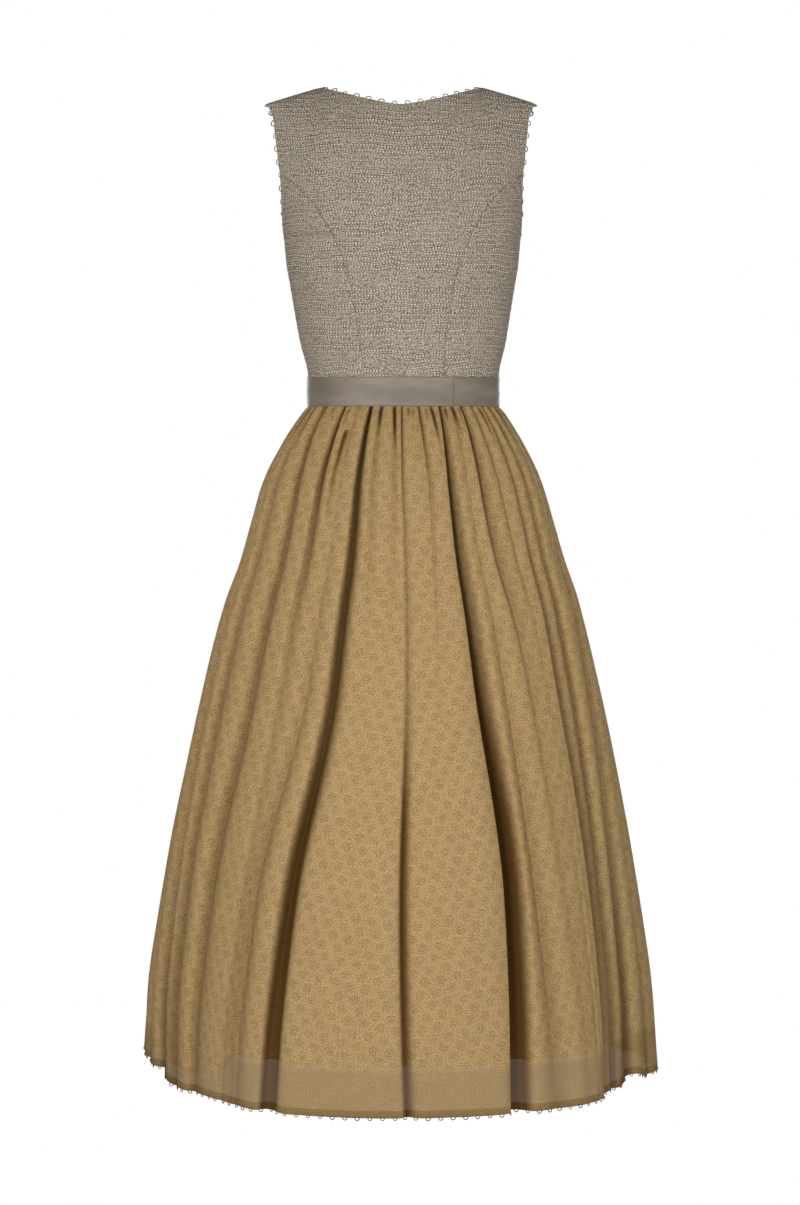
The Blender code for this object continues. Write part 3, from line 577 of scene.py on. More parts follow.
Level = namedtuple("Level", "z halfWidth back front backArmhole frontArmhole backSeam frontSeam lean")
bodice = {
    "wall": 0.0017,
    "seamOverlap": 0.0012,  # of the panels' edges in the groove, so that they let no light through
    "shoulderNeckX": 0.1032,
    "shoulderTipX": 0.1688,
    "shoulderDrop": 0.0197,
    "shoulderRound": 0.120,
    "roundPower": 2.2,
    "backNeck": (0.0262, 1.35),  # drop and power of the neck's curve
    "frontNeck": (0.102, 3.4),
    "backJunction": -0.1110,  # where the princess seam runs into the armhole
    "frontJunction": -0.1330,
    "armholeBottom": -0.1905,
    "waistSeam": -0.3856,
    "squareness": 2.3,
    "seamDip": 0.0019,
    "seamSoft": 0.0013,
    "seamEnd": 4,  # rows over which a dip fades at the end of its seam
    "wholeSeam": 10**6,  # the last row of a seam as long as its panel
    "pucker": 0.00022,
    "puckerPitch": 0.013,
    "puckerReach": 0.007,
    "rumple": 0.0006,
    "rumplePitch": (0.11, 0.16),  # across and up
    "rumpleFrom": 0.022,  # from a seam, where the cloth lies still
    "rumpleAbove": 0.03,  # and from the waist
    "lowerRows": 62,  # from the waist to the armhole
    "armholeRows": 26,  # from there to the junction
    "backRows": 34,  # from there to the neck
    "frontRows": 40,
    "neckColumns": 44,  # on each side of the middle
    "shoulderColumns": 20,
    "shoulderClosing": 1.5,  # how the columns close up towards the seam
    "sideColumns": 40,
    "sideTop": 0.9,  # share of its last row that a side panel reaches up to
    "levels": (
        Level(-0.3856, 0.1220, 0.0889, 0.1019, 0.1220, 0.1220, 0.0514, 0.056, -0.0025),
        Level(-0.3663, 0.1220, 0.0889, 0.1019, 0.1220, 0.1220, 0.0516, 0.056, -0.0025),
        Level(-0.3235, 0.1311, 0.0870, 0.1140, 0.1311, 0.1311, 0.0542, 0.062, -0.0019),
        Level(-0.2830, 0.1380, 0.0890, 0.1290, 0.1380, 0.1380, 0.0601, 0.072, -0.0014),
        Level(-0.2500, 0.1434, 0.0930, 0.1390, 0.1434, 0.1434, 0.0659, 0.082, -0.0013),
        Level(-0.2265, 0.1474, 0.0960, 0.1420, 0.1474, 0.1474, 0.0733, 0.088, -0.0012),
        Level(-0.1940, 0.1505, 0.0990, 0.1380, 0.1505, 0.1505, 0.0851, 0.098, -0.0010),
        Level(-0.1905, 0.1510, 0.0993, 0.1370, 0.1510, 0.1510, 0.0866, 0.100, -0.0010),
        Level(-0.1740, 0.1542, 0.1000, 0.1310, 0.1518, 0.1472, 0.0967, 0.109, -0.0008),
        Level(-0.1560, 0.1582, 0.1000, 0.1240, 0.1521, 0.1441, 0.1071, 0.121, -0.0005),
        Level(-0.1330, 0.1629, 0.0980, 0.1150, 0.1524, 0.1425, 0.1265, 0.1425, -0.0003),
        Level(-0.1225, 0.1651, 0.0965, 0.1110, 0.1528, 0.1425, 0.1389, 0.1425, -0.0001),
        Level(-0.1110, 0.1670, 0.0950, 0.1075, 0.1537, 0.1431, 0.1537, 0.1431, 0.0000),
        Level(-0.0820, 0.1724, 0.0900, 0.0990, 0.1568, 0.1472, 0.1568, 0.1472, 0.0003),
        Level(-0.0590, 0.1768, 0.0860, 0.0920, 0.1595, 0.1526, 0.1595, 0.1526, 0.0005),
        Level(-0.0395, 0.1808, 0.0810, 0.0860, 0.1619, 0.1590, 0.1619, 0.1590, 0.0006),
        Level(-0.0195, 0.1847, 0.0760, 0.0800, 0.1688, 0.1688, 0.1688, 0.1688, 0.0006),
        Level(0.0100, 0.1866, 0.0690, 0.0730, 0.1688, 0.1688, 0.1688, 0.1688, 0.0006),
    ),
}


# A point of a rounded section, its angle in radians
def oval(angle, halfWidth, back, front, squareness):
    aside, behind = np.sin(angle), np.cos(angle)
    depth = np.where(behind >= 0, back, front)
    reach = np.maximum(1 - np.abs(aside) ** squareness, 0) ** (1 / squareness)
    return -halfWidth * aside, depth * np.sign(behind) * reach


def level(name, z):
    return smooth(bodice["levels"], name, z)


def shoulderLine(x):
    slope = bodice["shoulderDrop"] / (bodice["shoulderTipX"] - bodice["shoulderNeckX"])
    return slope * (bodice["shoulderNeckX"] - np.abs(x))


def bodicePoint(angle, z):
    x, y = oval(angle, level("halfWidth", z), level("back", z), level("front", z), bodice["squareness"])
    below = rising(shoulderLine(x) - z, 0, bodice["shoulderRound"])
    power = bodice["roundPower"]
    y = y * (1 - (1 - below) ** power) ** (1 / power)
    return np.stack([x + level("lean", z), y, z + 0 * x], axis=-1)


def bodiceNormal(angle, z):
    turn, rise = 1e-3, 1e-4
    across = bodicePoint(angle + turn, z) - bodicePoint(angle - turn, z)
    up = bodicePoint(angle, z + rise) - bodicePoint(angle, z - rise)
    return unit(np.cross(across, up))


# The lines that panels lie between, as functions that give a line's angle at each height
def seamLine(column, side, behind):
    def angleAt(z):
        angle = np.arcsin(np.clip(level(column, z) / level("halfWidth", z), 0, 1))
        return side * (angle if behind else math.pi - angle)
    return angleAt


def frontMiddle(side):
    def angleAt(z):
        return np.full(np.shape(z), side * math.pi)
    return angleAt


def topEdge(x, behind):
    drop, power = bodice["backNeck"] if behind else bodice["frontNeck"]
    neck = -drop * (1 - np.minimum(np.abs(x) / bodice["shoulderNeckX"], 1) ** power)
    return np.where(np.abs(x) < bodice["shoulderNeckX"], neck, shoulderLine(x))


def roundAngle(below):
    ratio = np.clip(1 - below / bodice["shoulderRound"], 0, 1)
    return np.arccos(ratio ** (bodice["roundPower"] / 2))


# Angles and heights from the junction level up to the neck and the shoulders
def upperRows(left, right, columns, junction, behind):
    angles, heights = [], []
    count = bodice["backRows"] if behind else bodice["frontRows"]
    for row in range(1, count + 1):
        part = row / count
        z = np.full(len(columns), junction)
        for _ in range(12):  # angle and height depend on each other, and settle in a few turns
            angle = left(z) + (right(z) - left(z)) * columns
            x = bodicePoint(angle, z)[..., 0] - level("lean", z)
            line = shoulderLine(x)
            top = topEdge(x, behind)
            low, high = roundAngle(line - junction), roundAngle(line - top)
            turned = low + (high - low) * part
            z = line - bodice["shoulderRound"] * (1 - np.cos(turned) ** (2 / bodice["roundPower"]))
            z = z - np.maximum(line - junction - bodice["shoulderRound"], 0) * (1 - part)
            z = z - np.maximum(line - top - bodice["shoulderRound"], 0) * part
        angles.append(angle)
        heights.append(z)
    return angles, heights


# Points and normals of a panel between two lines, up to the neck if a junction is given
def bodiceGrid(left, right, columns, rows, junction=None, behind=True):
    heights = [np.full(len(columns), z) for z in rows]
    angles = [left(z) + (right(z) - left(z)) * columns for z in heights]
    if junction is not None:
        moreAngles, moreHeights = upperRows(left, right, columns, junction, behind)
        angles += moreAngles
        heights += moreHeights
    angles, heights = np.array(angles), np.array(heights)
    return bodicePoint(angles, heights), bodiceNormal(angles, heights)


# Length along each row from its first point, and up each column from its first point
def arcAcross(points):
    steps = np.linalg.norm(np.diff(points, axis=1), axis=-1)
    return np.concatenate([np.zeros((len(points), 1)), np.cumsum(steps, axis=1)], axis=1)


def arcUp(points):
    steps = np.linalg.norm(np.diff(points, axis=0), axis=-1)
    return np.concatenate([np.zeros((1, points.shape[1])), np.cumsum(steps, axis=0)], axis=0)


# Adds the seams' dip and puckers and slight rumples to a panel, then gives it its wall. seams lists the side
# of each seam and its last row. middle is the column at which the pattern starts.
def dressedPanel(name, points, normals, seams, material, seed, middle=0):
    across, up = arcAcross(points), arcUp(points)
    uv = np.stack([across - across[:, middle:middle + 1], points[..., 2]], axis=-1)
    wide, tall = bodice["rumplePitch"]
    relief = bodice["rumple"] * waves(seed, uv[..., 0] / wide, uv[..., 1] / tall)
    fromSeam = np.minimum(across, across[:, -1:] - across)
    relief *= rising(up, 0, bodice["rumpleAbove"]) * rising(fromSeam, 0, bodice["rumpleFrom"])
    for side, last in seams:
        distance = across if side == "left" else across[:, -1:] - across
        ends = np.clip((last - np.arange(len(points))[:, None]) / bodice["seamEnd"] + 0.5, 0, 1)
        relief -= bodice["seamDip"] * np.exp(-(distance / bodice["seamSoft"]) ** 2) * ends
        ripple = np.sin(2 * math.pi * up / bodice["puckerPitch"] + 2 * waves(5, up / 0.05))
        relief += bodice["pucker"] * ripple * np.exp(-distance / bodice["puckerReach"]) * ends
    points = points + normals * relief[..., None]
    half = bodice["seamOverlap"] / 2
    points[:, 0] -= unit(points[:, 1] - points[:, 0]) * half
    points[:, -1] -= unit(points[:, -2] - points[:, -1]) * half
    return clothShell(name, points, gridNormals(points), bodice["wall"], material, uv=uv), points


# Part of a panel's edge for the picots to follow: its points, its normals, and points further inside
def edgePart(points, normals, edge, inside):
    return points[edge], normals[edge], points[inside]


# A panel under the arm and its part of the armhole's edge. facing is 1 where its seam lies on its left.
def sidePanel(name, seam, armhole, rows, material, seed, facing):
    columns = 0.5 - 0.5 * np.cos(np.linspace(0, math.pi, bodice["sideColumns"]))  # closer towards both edges
    points, normals = bodiceGrid(seam, armhole, columns, rows)
    points[-1] = points[-2] + (points[-1] - points[-2]) * bodice["sideTop"]
    bottom = bodice["lowerRows"] - 1
    edge = edgePart(points, normals, np.s_[bottom:, -1], np.s_[bottom:, -3])
    turned = np.s_[:, ::facing]
    seamSide, armSide = ("left", "right")[::facing]
    seams = ((seamSide, bodice["wholeSeam"]), (armSide, bottom))
    piece, _ = dressedPanel(name, points[turned], normals[turned], seams, material, seed)
    return piece, edge


# Seven panels. Returns them and the edges that the picots follow.
def buildBodice(material):
    pieces, neckEdges, armEdges = {}, {}, {}
    neck = math.asin(bodice["shoulderNeckX"] / float(level("halfWidth", 0.0)))
    tip = math.asin(bodice["shoulderTipX"] / float(level("halfWidth", -bodice["shoulderDrop"])))
    share = neck / tip
    shoulder = bodice["shoulderColumns"]
    closing = 1 - (1 - np.linspace(0, 1, shoulder)) ** bodice["shoulderClosing"]
    half = np.concatenate([np.linspace(0, share, bodice["neckColumns"])[:-1], share + (1 - share) * closing])
    low = np.linspace(bodice["waistSeam"], bodice["armholeBottom"], bodice["lowerRows"])
    backRows, frontRows = [
        np.concatenate([low, np.linspace(bodice["armholeBottom"], bodice[name], bodice["armholeRows"])[1:]])
        for name in ("backJunction", "frontJunction")]
    last = len(backRows) - 1  # the junction's row

    columns = np.concatenate([-half[::-1], half[1:]]) / 2 + 0.5
    left, right = seamLine("backSeam", -1, True), seamLine("backSeam", 1, True)
    points, normals = bodiceGrid(left, right, columns, backRows, bodice["backJunction"])
    points[-1, :shoulder, 1] = points[-1, -shoulder:, 1] = -bodice["seamOverlap"] / 2
    piece, points = dressedPanel("bodice_centre_back", points, normals, (("left", last), ("right", last)),
                                 material, 3, len(columns) // 2)
    pieces["bodice_back_centre"] = piece
    between = slice(shoulder - 1, 1 - shoulder)
    neckEdges["back"] = edgePart(points, normals, np.s_[-1, between], np.s_[-3, between])
    backEdges = {side: edgePart(points, normals, np.s_[last:, column], np.s_[last:, inside])
                 for side, column, inside in ((1, -1, -3), (-1, 0, 2))}

    for side, label in ((-1, "left"), (1, "right")):
        seam, armhole = seamLine("backSeam", side, True), seamLine("backArmhole", side, True)
        name = f"bodice_side_back_{label}"
        piece, edge = sidePanel(name, seam, armhole, backRows, material, 11 + side, side)
        pieces[f"bodice_back_side_{label}"] = piece
        armEdges[side, "back"] = [edge, backEdges[side]]

        seam, armhole = seamLine("frontSeam", side, False), seamLine("frontArmhole", side, False)
        points, normals = bodiceGrid(frontMiddle(side), seam, half, frontRows, bodice["frontJunction"],
                                     behind=False)
        points[-1, -shoulder:, 1] = bodice["seamOverlap"] / 2
        turned = np.s_[:, ::-side]
        seamSide, middleSide = ("left", "right")[::side]
        seams = ((seamSide, last), (middleSide, bodice["wholeSeam"]))
        piece, points = dressedPanel(f"bodice_half_front_{label}", points[turned], normals[turned], seams,
                                     material, 21 + side, len(half) - 1 if side == 1 else 0)
        points = points[turned]
        pieces[f"bodice_front_{label}"] = piece
        between = slice(None, 1 - shoulder)
        neckEdges[side] = edgePart(points, normals, np.s_[-1, between], np.s_[-3, between])
        frontEdge = edgePart(points, normals, np.s_[last:, -1], np.s_[last:, -3])

        name = f"bodice_side_front_{label}"
        piece, edge = sidePanel(name, seam, armhole, frontRows, material, 31 + side, -side)
        pieces[f"bodice_front_side_{label}"] = piece
        armEdges[side, "front"] = [edge, frontEdge]
    return pieces, neckEdges, armEdges


Ring = namedtuple("Ring", "z halfWidth back front squareness lean")
# A valley of the skirt: its angle and its depth in mm at five levels, then what the notes in the table say
Gather = namedtuple("Gather", "waist hip thigh calf hem dWaist dHip dThigh dCalf dHem "
                              "setBack overhang width soft pinch")
# A short crease: its angle where it starts and ends, how far below the waist that is, its depth, and its half
# width on the wearer's left and right, all in mm
Crease = namedtuple("Crease", "top bottom start end depth left right")
skirt = {
    "waist": -0.3859,
    "hem": -1.2600,
    "underHem": -1.2000,
    "wall": 0.0004,
    "underWall": 0.0005,
    "rows": 120,
    "rowsClosing": (0.35, 1.7),  # share of them that is even, and the power that draws the rest up
    "columns": 1.9,  # for each degree between two valleys at the hem
    "columnsFewest": 14,
    "columnsMost": 34,
    "stations": (0.0, 0.15, 0.40, 0.70, 1.0),
    "ridgePower": 2.2,
    "setBackPower": 2.5,
    "rollDepths": (1.5, 1.7, 1.6, 1.1, 0.35),  # a valley's depth in its roll, as a share of the solid's
    "slotDepths": (2.2, 2.1, 1.8, 1.3, 0.6),  # and in its slot, both at the stations
    "slotLengths": (0.0, 0.03, 0.10, 0.20, 0.45, 0.75, 1.0),
    "slotWidths": (0.0012, 0.0018, 0.0032, 0.0052, 0.0078, 0.0095, 0.0110),
    "slotPower": (3.2, 2.2, 1.9),  # how square a slot's side is: overhung, plain, soft
    "deepPower": 1.8,  # and how much squarer in the deepest valleys
    "deepFrom": (0.014, 0.028),  # the depths from where to where a valley counts as deep
    "crispShare": 0.65,  # width of a slot's overhung side, and of its other side for each mm of overhang
    "softGain": 0.16,
    "softDent": 0.7,  # share of a slot's depth that a soft valley loses
    "softOverhang": 0.6,  # and of its overhang
    "overhangFrom": (0.30, 0.12),  # share of an overhang at the waist, and the length by which it is whole
    "overhangDepth": 0.006,  # a valley this deep overhangs wholly
    "shadeDepth": 0.007,  # and one this deep gets the whole painted shade
    "ripple": (0.0016, 2.4, 2.2),  # height, and waves for each radian and for each length of the skirt
    "rippleFrom": (0.0, 0.15),
    "flutter": (0.0014, 9.0, 1.5),
    "flutterFrom": (0.5, 1.0),
    "underInset": (0.0006, 0.0034),  # from the outer cloth to the underskirt, at the waist and below
    "underInsetFrom": (0.02, 0.12),
    "underWiden": 0.0022,
    "underFineRows": 16,  # below them the underskirt has every second row
    "underDropFrom": 0.6,  # of the skirt's length, where the underskirt starts to hang lower
    "underHemAngles": (-180.0, -84.0, -72.0, -52.0, -43.0, 180.0),
    "underHemDrops": (0.0, 0.0, 0.038, 0.034, 0.0, 0.0),  # how far the underskirt hangs lower at those angles
    "hemOfLining": 0.003,  # height over which the lining's hem shows as soft
    "rings": (
        Ring(-0.3859, 0.1220, 0.0890, 0.1020, 2.30, -0.0025),
        Ring(-0.4048, 0.1222, 0.0892, 0.1022, 2.30, -0.0025),
        Ring(-0.4093, 0.1268, 0.0945, 0.1070, 2.28, -0.0025),
        Ring(-0.4223, 0.1363, 0.1050, 0.1170, 2.25, -0.0022),
        Ring(-0.4472, 0.1518, 0.1210, 0.1330, 2.20, -0.0018),
        Ring(-0.4981, 0.1771, 0.1470, 0.1570, 2.12, -0.0013),
        Ring(-0.5491, 0.1932, 0.1660, 0.1750, 2.08, -0.0018),
        Ring(-0.6011, 0.2090, 0.1820, 0.1900, 2.05, -0.0018),
        Ring(-0.6523, 0.2280, 0.1980, 0.2060, 2.03, -0.0012),
        Ring(-0.7550, 0.2553, 0.2240, 0.2310, 2.00, 0.0006),
        Ring(-0.8585, 0.2782, 0.2460, 0.2520, 2.00, 0.0019),
        Ring(-0.9615, 0.2980, 0.2640, 0.2700, 2.00, 0.0033),
        Ring(-1.0660, 0.3155, 0.2810, 0.2860, 2.00, 0.0042),
        Ring(-1.1700, 0.3293, 0.2945, 0.2990, 2.00, 0.0047),
        Ring(-1.2600, 0.3346, 0.3010, 0.3050, 2.00, 0.0040),
    ),
    # setBack is how far in mm the cloth after a valley lies behind the rest at the hem. overhang is how far
    # in mm a valley's floor lies under its neighbour, on the wearer's right if positive. width scales its
    # slot, soft is the share of its depth in the cloth's broad roll, and pinch is how many mm deeper it
    # starts under the waistband.
    "gathers": (
        Gather(-180.0, -180.0, -180.0, -180.0, -180.0, 1.2, 4.0, 6.0, 8.0, 10.0, 0.0, 2.0, 0.7, 0.45, 2.0),
        Gather(-171.0, -169.5, -170.0, -171.0, -171.0, 1.2, 1.8, 0.0, 0.0, 0.0, 0.0, 0.0, 0.7, 0.4, 2.0),
        Gather(-161.0, -159.0, -158.0, -155.5, -153.0, 1.5, 7.0, 11.0, 16.0, 19.0, 0.0, 4.0, 1.0, 0.45, 3.0),
        Gather(-148.0, -148.0, -147.0, -145.0, -143.0, 1.2, 4.0, 3.0, 4.0, 6.0, 0.0, 0.0, 0.8, 0.6, 2.5),
        Gather(-137.0, -136.0, -134.0, -131.0, -128.5, 1.4, 5.0, 8.0, 13.0, 16.0, 0.0, -4.0, 1.0, 0.45, 3.0),
        Gather(-123.0, -124.0, -122.0, -120.5, -119.0, 1.2, 3.0, 5.0, 7.0, 9.0, -20.0, 0.0, 0.9, 0.6, 2.0),
        Gather(-107.0, -107.0, -106.0, -105.0, -104.0, 1.4, 5.0, 9.0, 14.0, 18.0, 4.0, 3.0, 1.0, 0.6, 3.0),
        Gather(-93.0, -92.0, -91.0, -88.5, -87.0, 1.0, 3.0, 6.0, 10.0, 13.0, 16.0, -3.0, 0.9, 0.9, 2.0),
        Gather(-82.0, -79.0, -77.5, -75.5, -73.0, 1.0, 3.0, 8.0, 15.0, 20.0, 18.0, -4.0, 1.0, 0.9, 2.5),
        Gather(-70.5, -67.0, -64.8, -67.0, -66.0, 1.2, 4.0, 7.0, 11.0, 14.0, 26.0, -3.0, 0.9, 0.9, 2.5),
        Gather(-60.0, -50.8, -49.5, -55.6, -57.0, 1.6, 7.0, 9.0, 12.0, 15.0, 28.0, -4.0, 1.0, 0.85, 6.0),
        Gather(-38.6, -36.2, -36.5, -41.0, -45.0, 1.4, 5.0, 2.5, 1.5, 1.5, 20.0, -2.0, 1.0, 0.35, 5.0),
        Gather(-28.0, -27.0, -27.8, -36.8, -39.3, 1.2, 1.5, 4.0, 6.5, 8.0, 8.0, 0.0, 0.9, 0.9, 0.8),
        Gather(-20.0, -18.6, -19.3, -27.0, -29.7, 1.5, 8.0, 12.0, 19.0, 24.0, 0.0, -2.5, 0.95, 0.35, 5.5),
        Gather(-13.0, -12.0, -11.5, -14.0, -15.0, 1.3, 2.5, 0.5, 0.0, 0.0, 0.0, 0.0, 0.6, 0.8, 1.5),
        Gather(-5.0, -3.2, -4.5, -6.0, -7.0, 1.2, 2.2, 0.5, 0.0, 0.0, 0.0, 0.0, 0.6, 0.9, 0.8),
        Gather(-1.3, 0.5, 1.9, 1.0, 2.0, 1.2, 2.0, 2.8, 9.5, 14.0, 0.0, -1.0, 0.6, 0.3, 1.8),
        Gather(8.4, 11.6, 11.0, 12.0, 12.0, 1.2, 2.0, 0.5, 0.0, 0.0, 0.0, -1.0, 0.7, 0.5, 3.5),
        Gather(22.3, 20.2, 22.8, 27.5, 26.3, 1.5, 10.0, 17.0, 32.0, 42.0, 0.0, -2.5, 0.95, 0.35, 3.5),
        Gather(30.5, 28.0, 31.0, 34.4, 36.0, 1.2, 1.5, 4.0, 6.5, 8.0, 0.0, 0.0, 0.9, 0.9, 1.0),
        Gather(37.5, 34.7, 40.0, 43.0, 46.0, 1.4, 5.0, 2.5, 2.0, 2.0, 2.0, -2.0, 1.3, 0.45, 5.5),
        Gather(45.6, 44.5, 46.5, 48.5, 50.0, 1.3, 2.0, 0.5, 0.0, 0.0, 12.0, -1.0, 0.9, 0.8, 3.0),
        Gather(56.0, 53.0, 51.6, 54.0, 54.5, 1.3, 4.0, 7.0, 10.0, 13.0, 24.0, -2.0, 0.9, 0.5, 5.0),
        Gather(66.0, 63.5, 60.5, 60.6, 62.0, 1.2, 4.0, 8.0, 12.0, 16.0, 24.0, 3.0, 0.9, 0.8, 3.0),
        Gather(82.0, 80.0, 75.0, 70.5, 69.5, 1.2, 4.0, 9.0, 16.0, 20.0, 14.0, 4.0, 1.0, 0.8, 2.5),
        Gather(93.0, 92.0, 88.5, 84.5, 82.5, 1.0, 3.0, 6.0, 10.0, 13.0, 0.0, 3.0, 0.9, 0.8, 2.0),
        Gather(106.0, 105.0, 103.5, 101.0, 99.0, 1.4, 5.0, 9.0, 13.0, 17.0, 0.0, -3.0, 1.0, 0.6, 2.5),
        Gather(119.0, 118.0, 117.0, 116.0, 115.0, 1.2, 3.0, 4.0, 6.0, 8.0, 0.0, 0.0, 0.9, 0.6, 2.5),
        Gather(133.0, 132.5, 131.0, 129.0, 127.0, 1.4, 6.0, 10.0, 15.0, 18.0, 0.0, 4.0, 1.0, 0.45, 3.0),
        Gather(146.0, 146.0, 145.0, 143.5, 142.0, 1.2, 3.0, 3.0, 4.0, 5.0, 0.0, 0.0, 0.9, 0.6, 2.5),
        Gather(158.0, 156.0, 156.5, 155.0, 154.0, 1.5, 6.0, 10.0, 14.0, 17.0, 0.0, -4.0, 1.0, 0.45, 3.0),
        Gather(170.0, 168.5, 169.0, 170.0, 170.0, 1.2, 1.8, 0.0, 0.0, 0.0, 0.0, 0.0, 0.7, 0.4, 2.0),
    ),
    "seamRows": (7, 16, 25),  # valleys of the side and centre back seams, as the first is the front one's
    "breakDepth": 5,  # mm at the hem, from which a valley breaks the pattern
    "pinchFrom": 0.012,  # from the waist down
    "pinchFull": 0.026,
    "pinchTo": 0.130,
    "hemAngles": (-180.0, -118.0, -100.0, -74.0, -66.0, 65.0, 72.0, 82.0, 180.0),
    "hemRises": (0.0, 0.0, 0.017, 0.017, 0.0, 0.0, 0.011, 0.0, 0.0),  # how much higher the hem hangs there
    "hemRisePower": 6,
    "turnedRows": (  # how far up, how far behind and turned by how many degrees each row of the turned hem is
        (-0.0002, 0.0007, 90), (0.0006, 0.0014, 180), (0.0045, 0.0015, 180), (0.009, 0.0014, 180),
    ),
    "creaseDepth": 1.9,  # how much deeper the creases are than their list says
    # how strongly the creases add to the painted fold shade
    "creaseShade": 1.8,
    "creaseFullShade": 4,  # mm, the depth at which a crease's painted shade is that dark
    "creaseEase": 8,  # mm over which a crease starts
    "creases": (
        Crease(-88.0, -85.0, 16, 75, 2.5, 2.0, 2.0), Crease(-75.0, -71.0, 16, 70, 3.0, 2.0, 2.4),
        Crease(-66.0, -60.0, 16, 75, 3.0, 1.8, 2.4), Crease(-53.5, -51.9, 16, 64, 3.5, 1.8, 2.2),
        Crease(-46.6, -41.5, 16, 40, 2.6, 1.5, 1.5), Crease(-30.7, -30.0, 44, 210, 2.4, 1.6, 5.0),
        Crease(-33.5, -32.5, 16, 50, 2.0, 1.4, 2.2), Crease(-13.6, -12.0, 16, 58, 2.4, 1.6, 2.6),
        Crease(-5.6, -2.7, 16, 82, 3.4, 1.5, 1.8), Crease(2.8, 2.9, 16, 36, 3.0, 1.4, 1.4),
        Crease(5.2, 5.8, 16, 44, 1.6, 1.5, 2.0), Crease(16.0, 18.4, 16, 78, 4.0, 1.5, 2.2),
        Crease(12.6, 13.4, 16, 42, 1.8, 1.4, 2.0), Crease(25.0, 24.0, 16, 46, 3.2, 1.5, 1.7),
        Crease(30.2, 30.6, 16, 62, 2.6, 1.6, 2.0), Crease(34.2, 33.2, 16, 44, 2.0, 1.4, 1.8),
        Crease(50.4, 50.0, 16, 74, 3.0, 1.8, 2.2), Crease(61.0, 60.0, 16, 84, 3.4, 1.8, 2.4),
        Crease(71.5, 69.5, 16, 78, 3.2, 1.8, 2.4), Crease(77.0, 74.0, 16, 58, 2.6, 1.8, 2.0),
        Crease(88.0, 86.5, 16, 66, 2.6, 2.0, 2.2),
    ),
    "frontCreases": (98.0, 262.0, 24),  # first and last angle of those round the front, and how many
}


# The short creases under the waistband: those listed, and like ones round the sides that don't show
def allCreases():
    chance = np.random.default_rng(19)
    first, last, count = skirt["frontCreases"]
    more = []
    for place in np.linspace(first, last, count):
        angle = (place + chance.uniform(-2.2, 2.2) + 180) % 360 - 180
        wide = chance.uniform(1.5, 2.3)
        more.append(Crease(angle, angle + chance.uniform(-2.0, 2.0), 16, chance.uniform(40, 95),
                           chance.uniform(2.0, 3.8), wide, wide * chance.uniform(1.0, 1.4)))
    return (*skirt["creases"], *more)


def ringAt(name, z):
    return smooth(skirt["rings"], name, z)


def planPoint(angle, z):
    x, y = oval(angle, ringAt("halfWidth", z), ringAt("back", z), ringAt("front", z), ringAt("squareness", z))
    return np.stack([x + ringAt("lean", z), y, z + 0 * x], axis=-1)


# Outward and sideways directions in plan, and metres of cloth for each radian
def planFrame(angle, z):
    turn = 4e-3
    along = (planPoint(angle + turn, z) - planPoint(angle - turn, z)) / (2 * turn)
    rate = np.linalg.norm(along, axis=-1)
    outward = unit(np.stack([along[..., 1], -along[..., 0], 0 * rate], axis=-1))
    return outward, unit(along), rate


# The skirt's length down to each height, as a share of the whole
def lengthAt(heights):
    return (skirt["waist"] - heights) / (skirt["waist"] - skirt["hem"])


# For each column the valley at its start and its share of the way to the next one
def gatherColumns():
    gathers = skirt["gathers"]
    owner, share = [], []
    for i, gather in enumerate(gathers):
        span = (gathers[(i + 1) % len(gathers)].hem - gather.hem) % 360
        count = int(np.clip(round(span * skirt["columns"]), skirt["columnsFewest"], skirt["columnsMost"]))
        even = np.arange(count) / count
        share += list(0.45 * even + 0.55 * (0.5 - 0.5 * np.cos(math.pi * even)))  # closer in the valleys
        owner += [i] * count
    return np.array(owner), np.array(share)
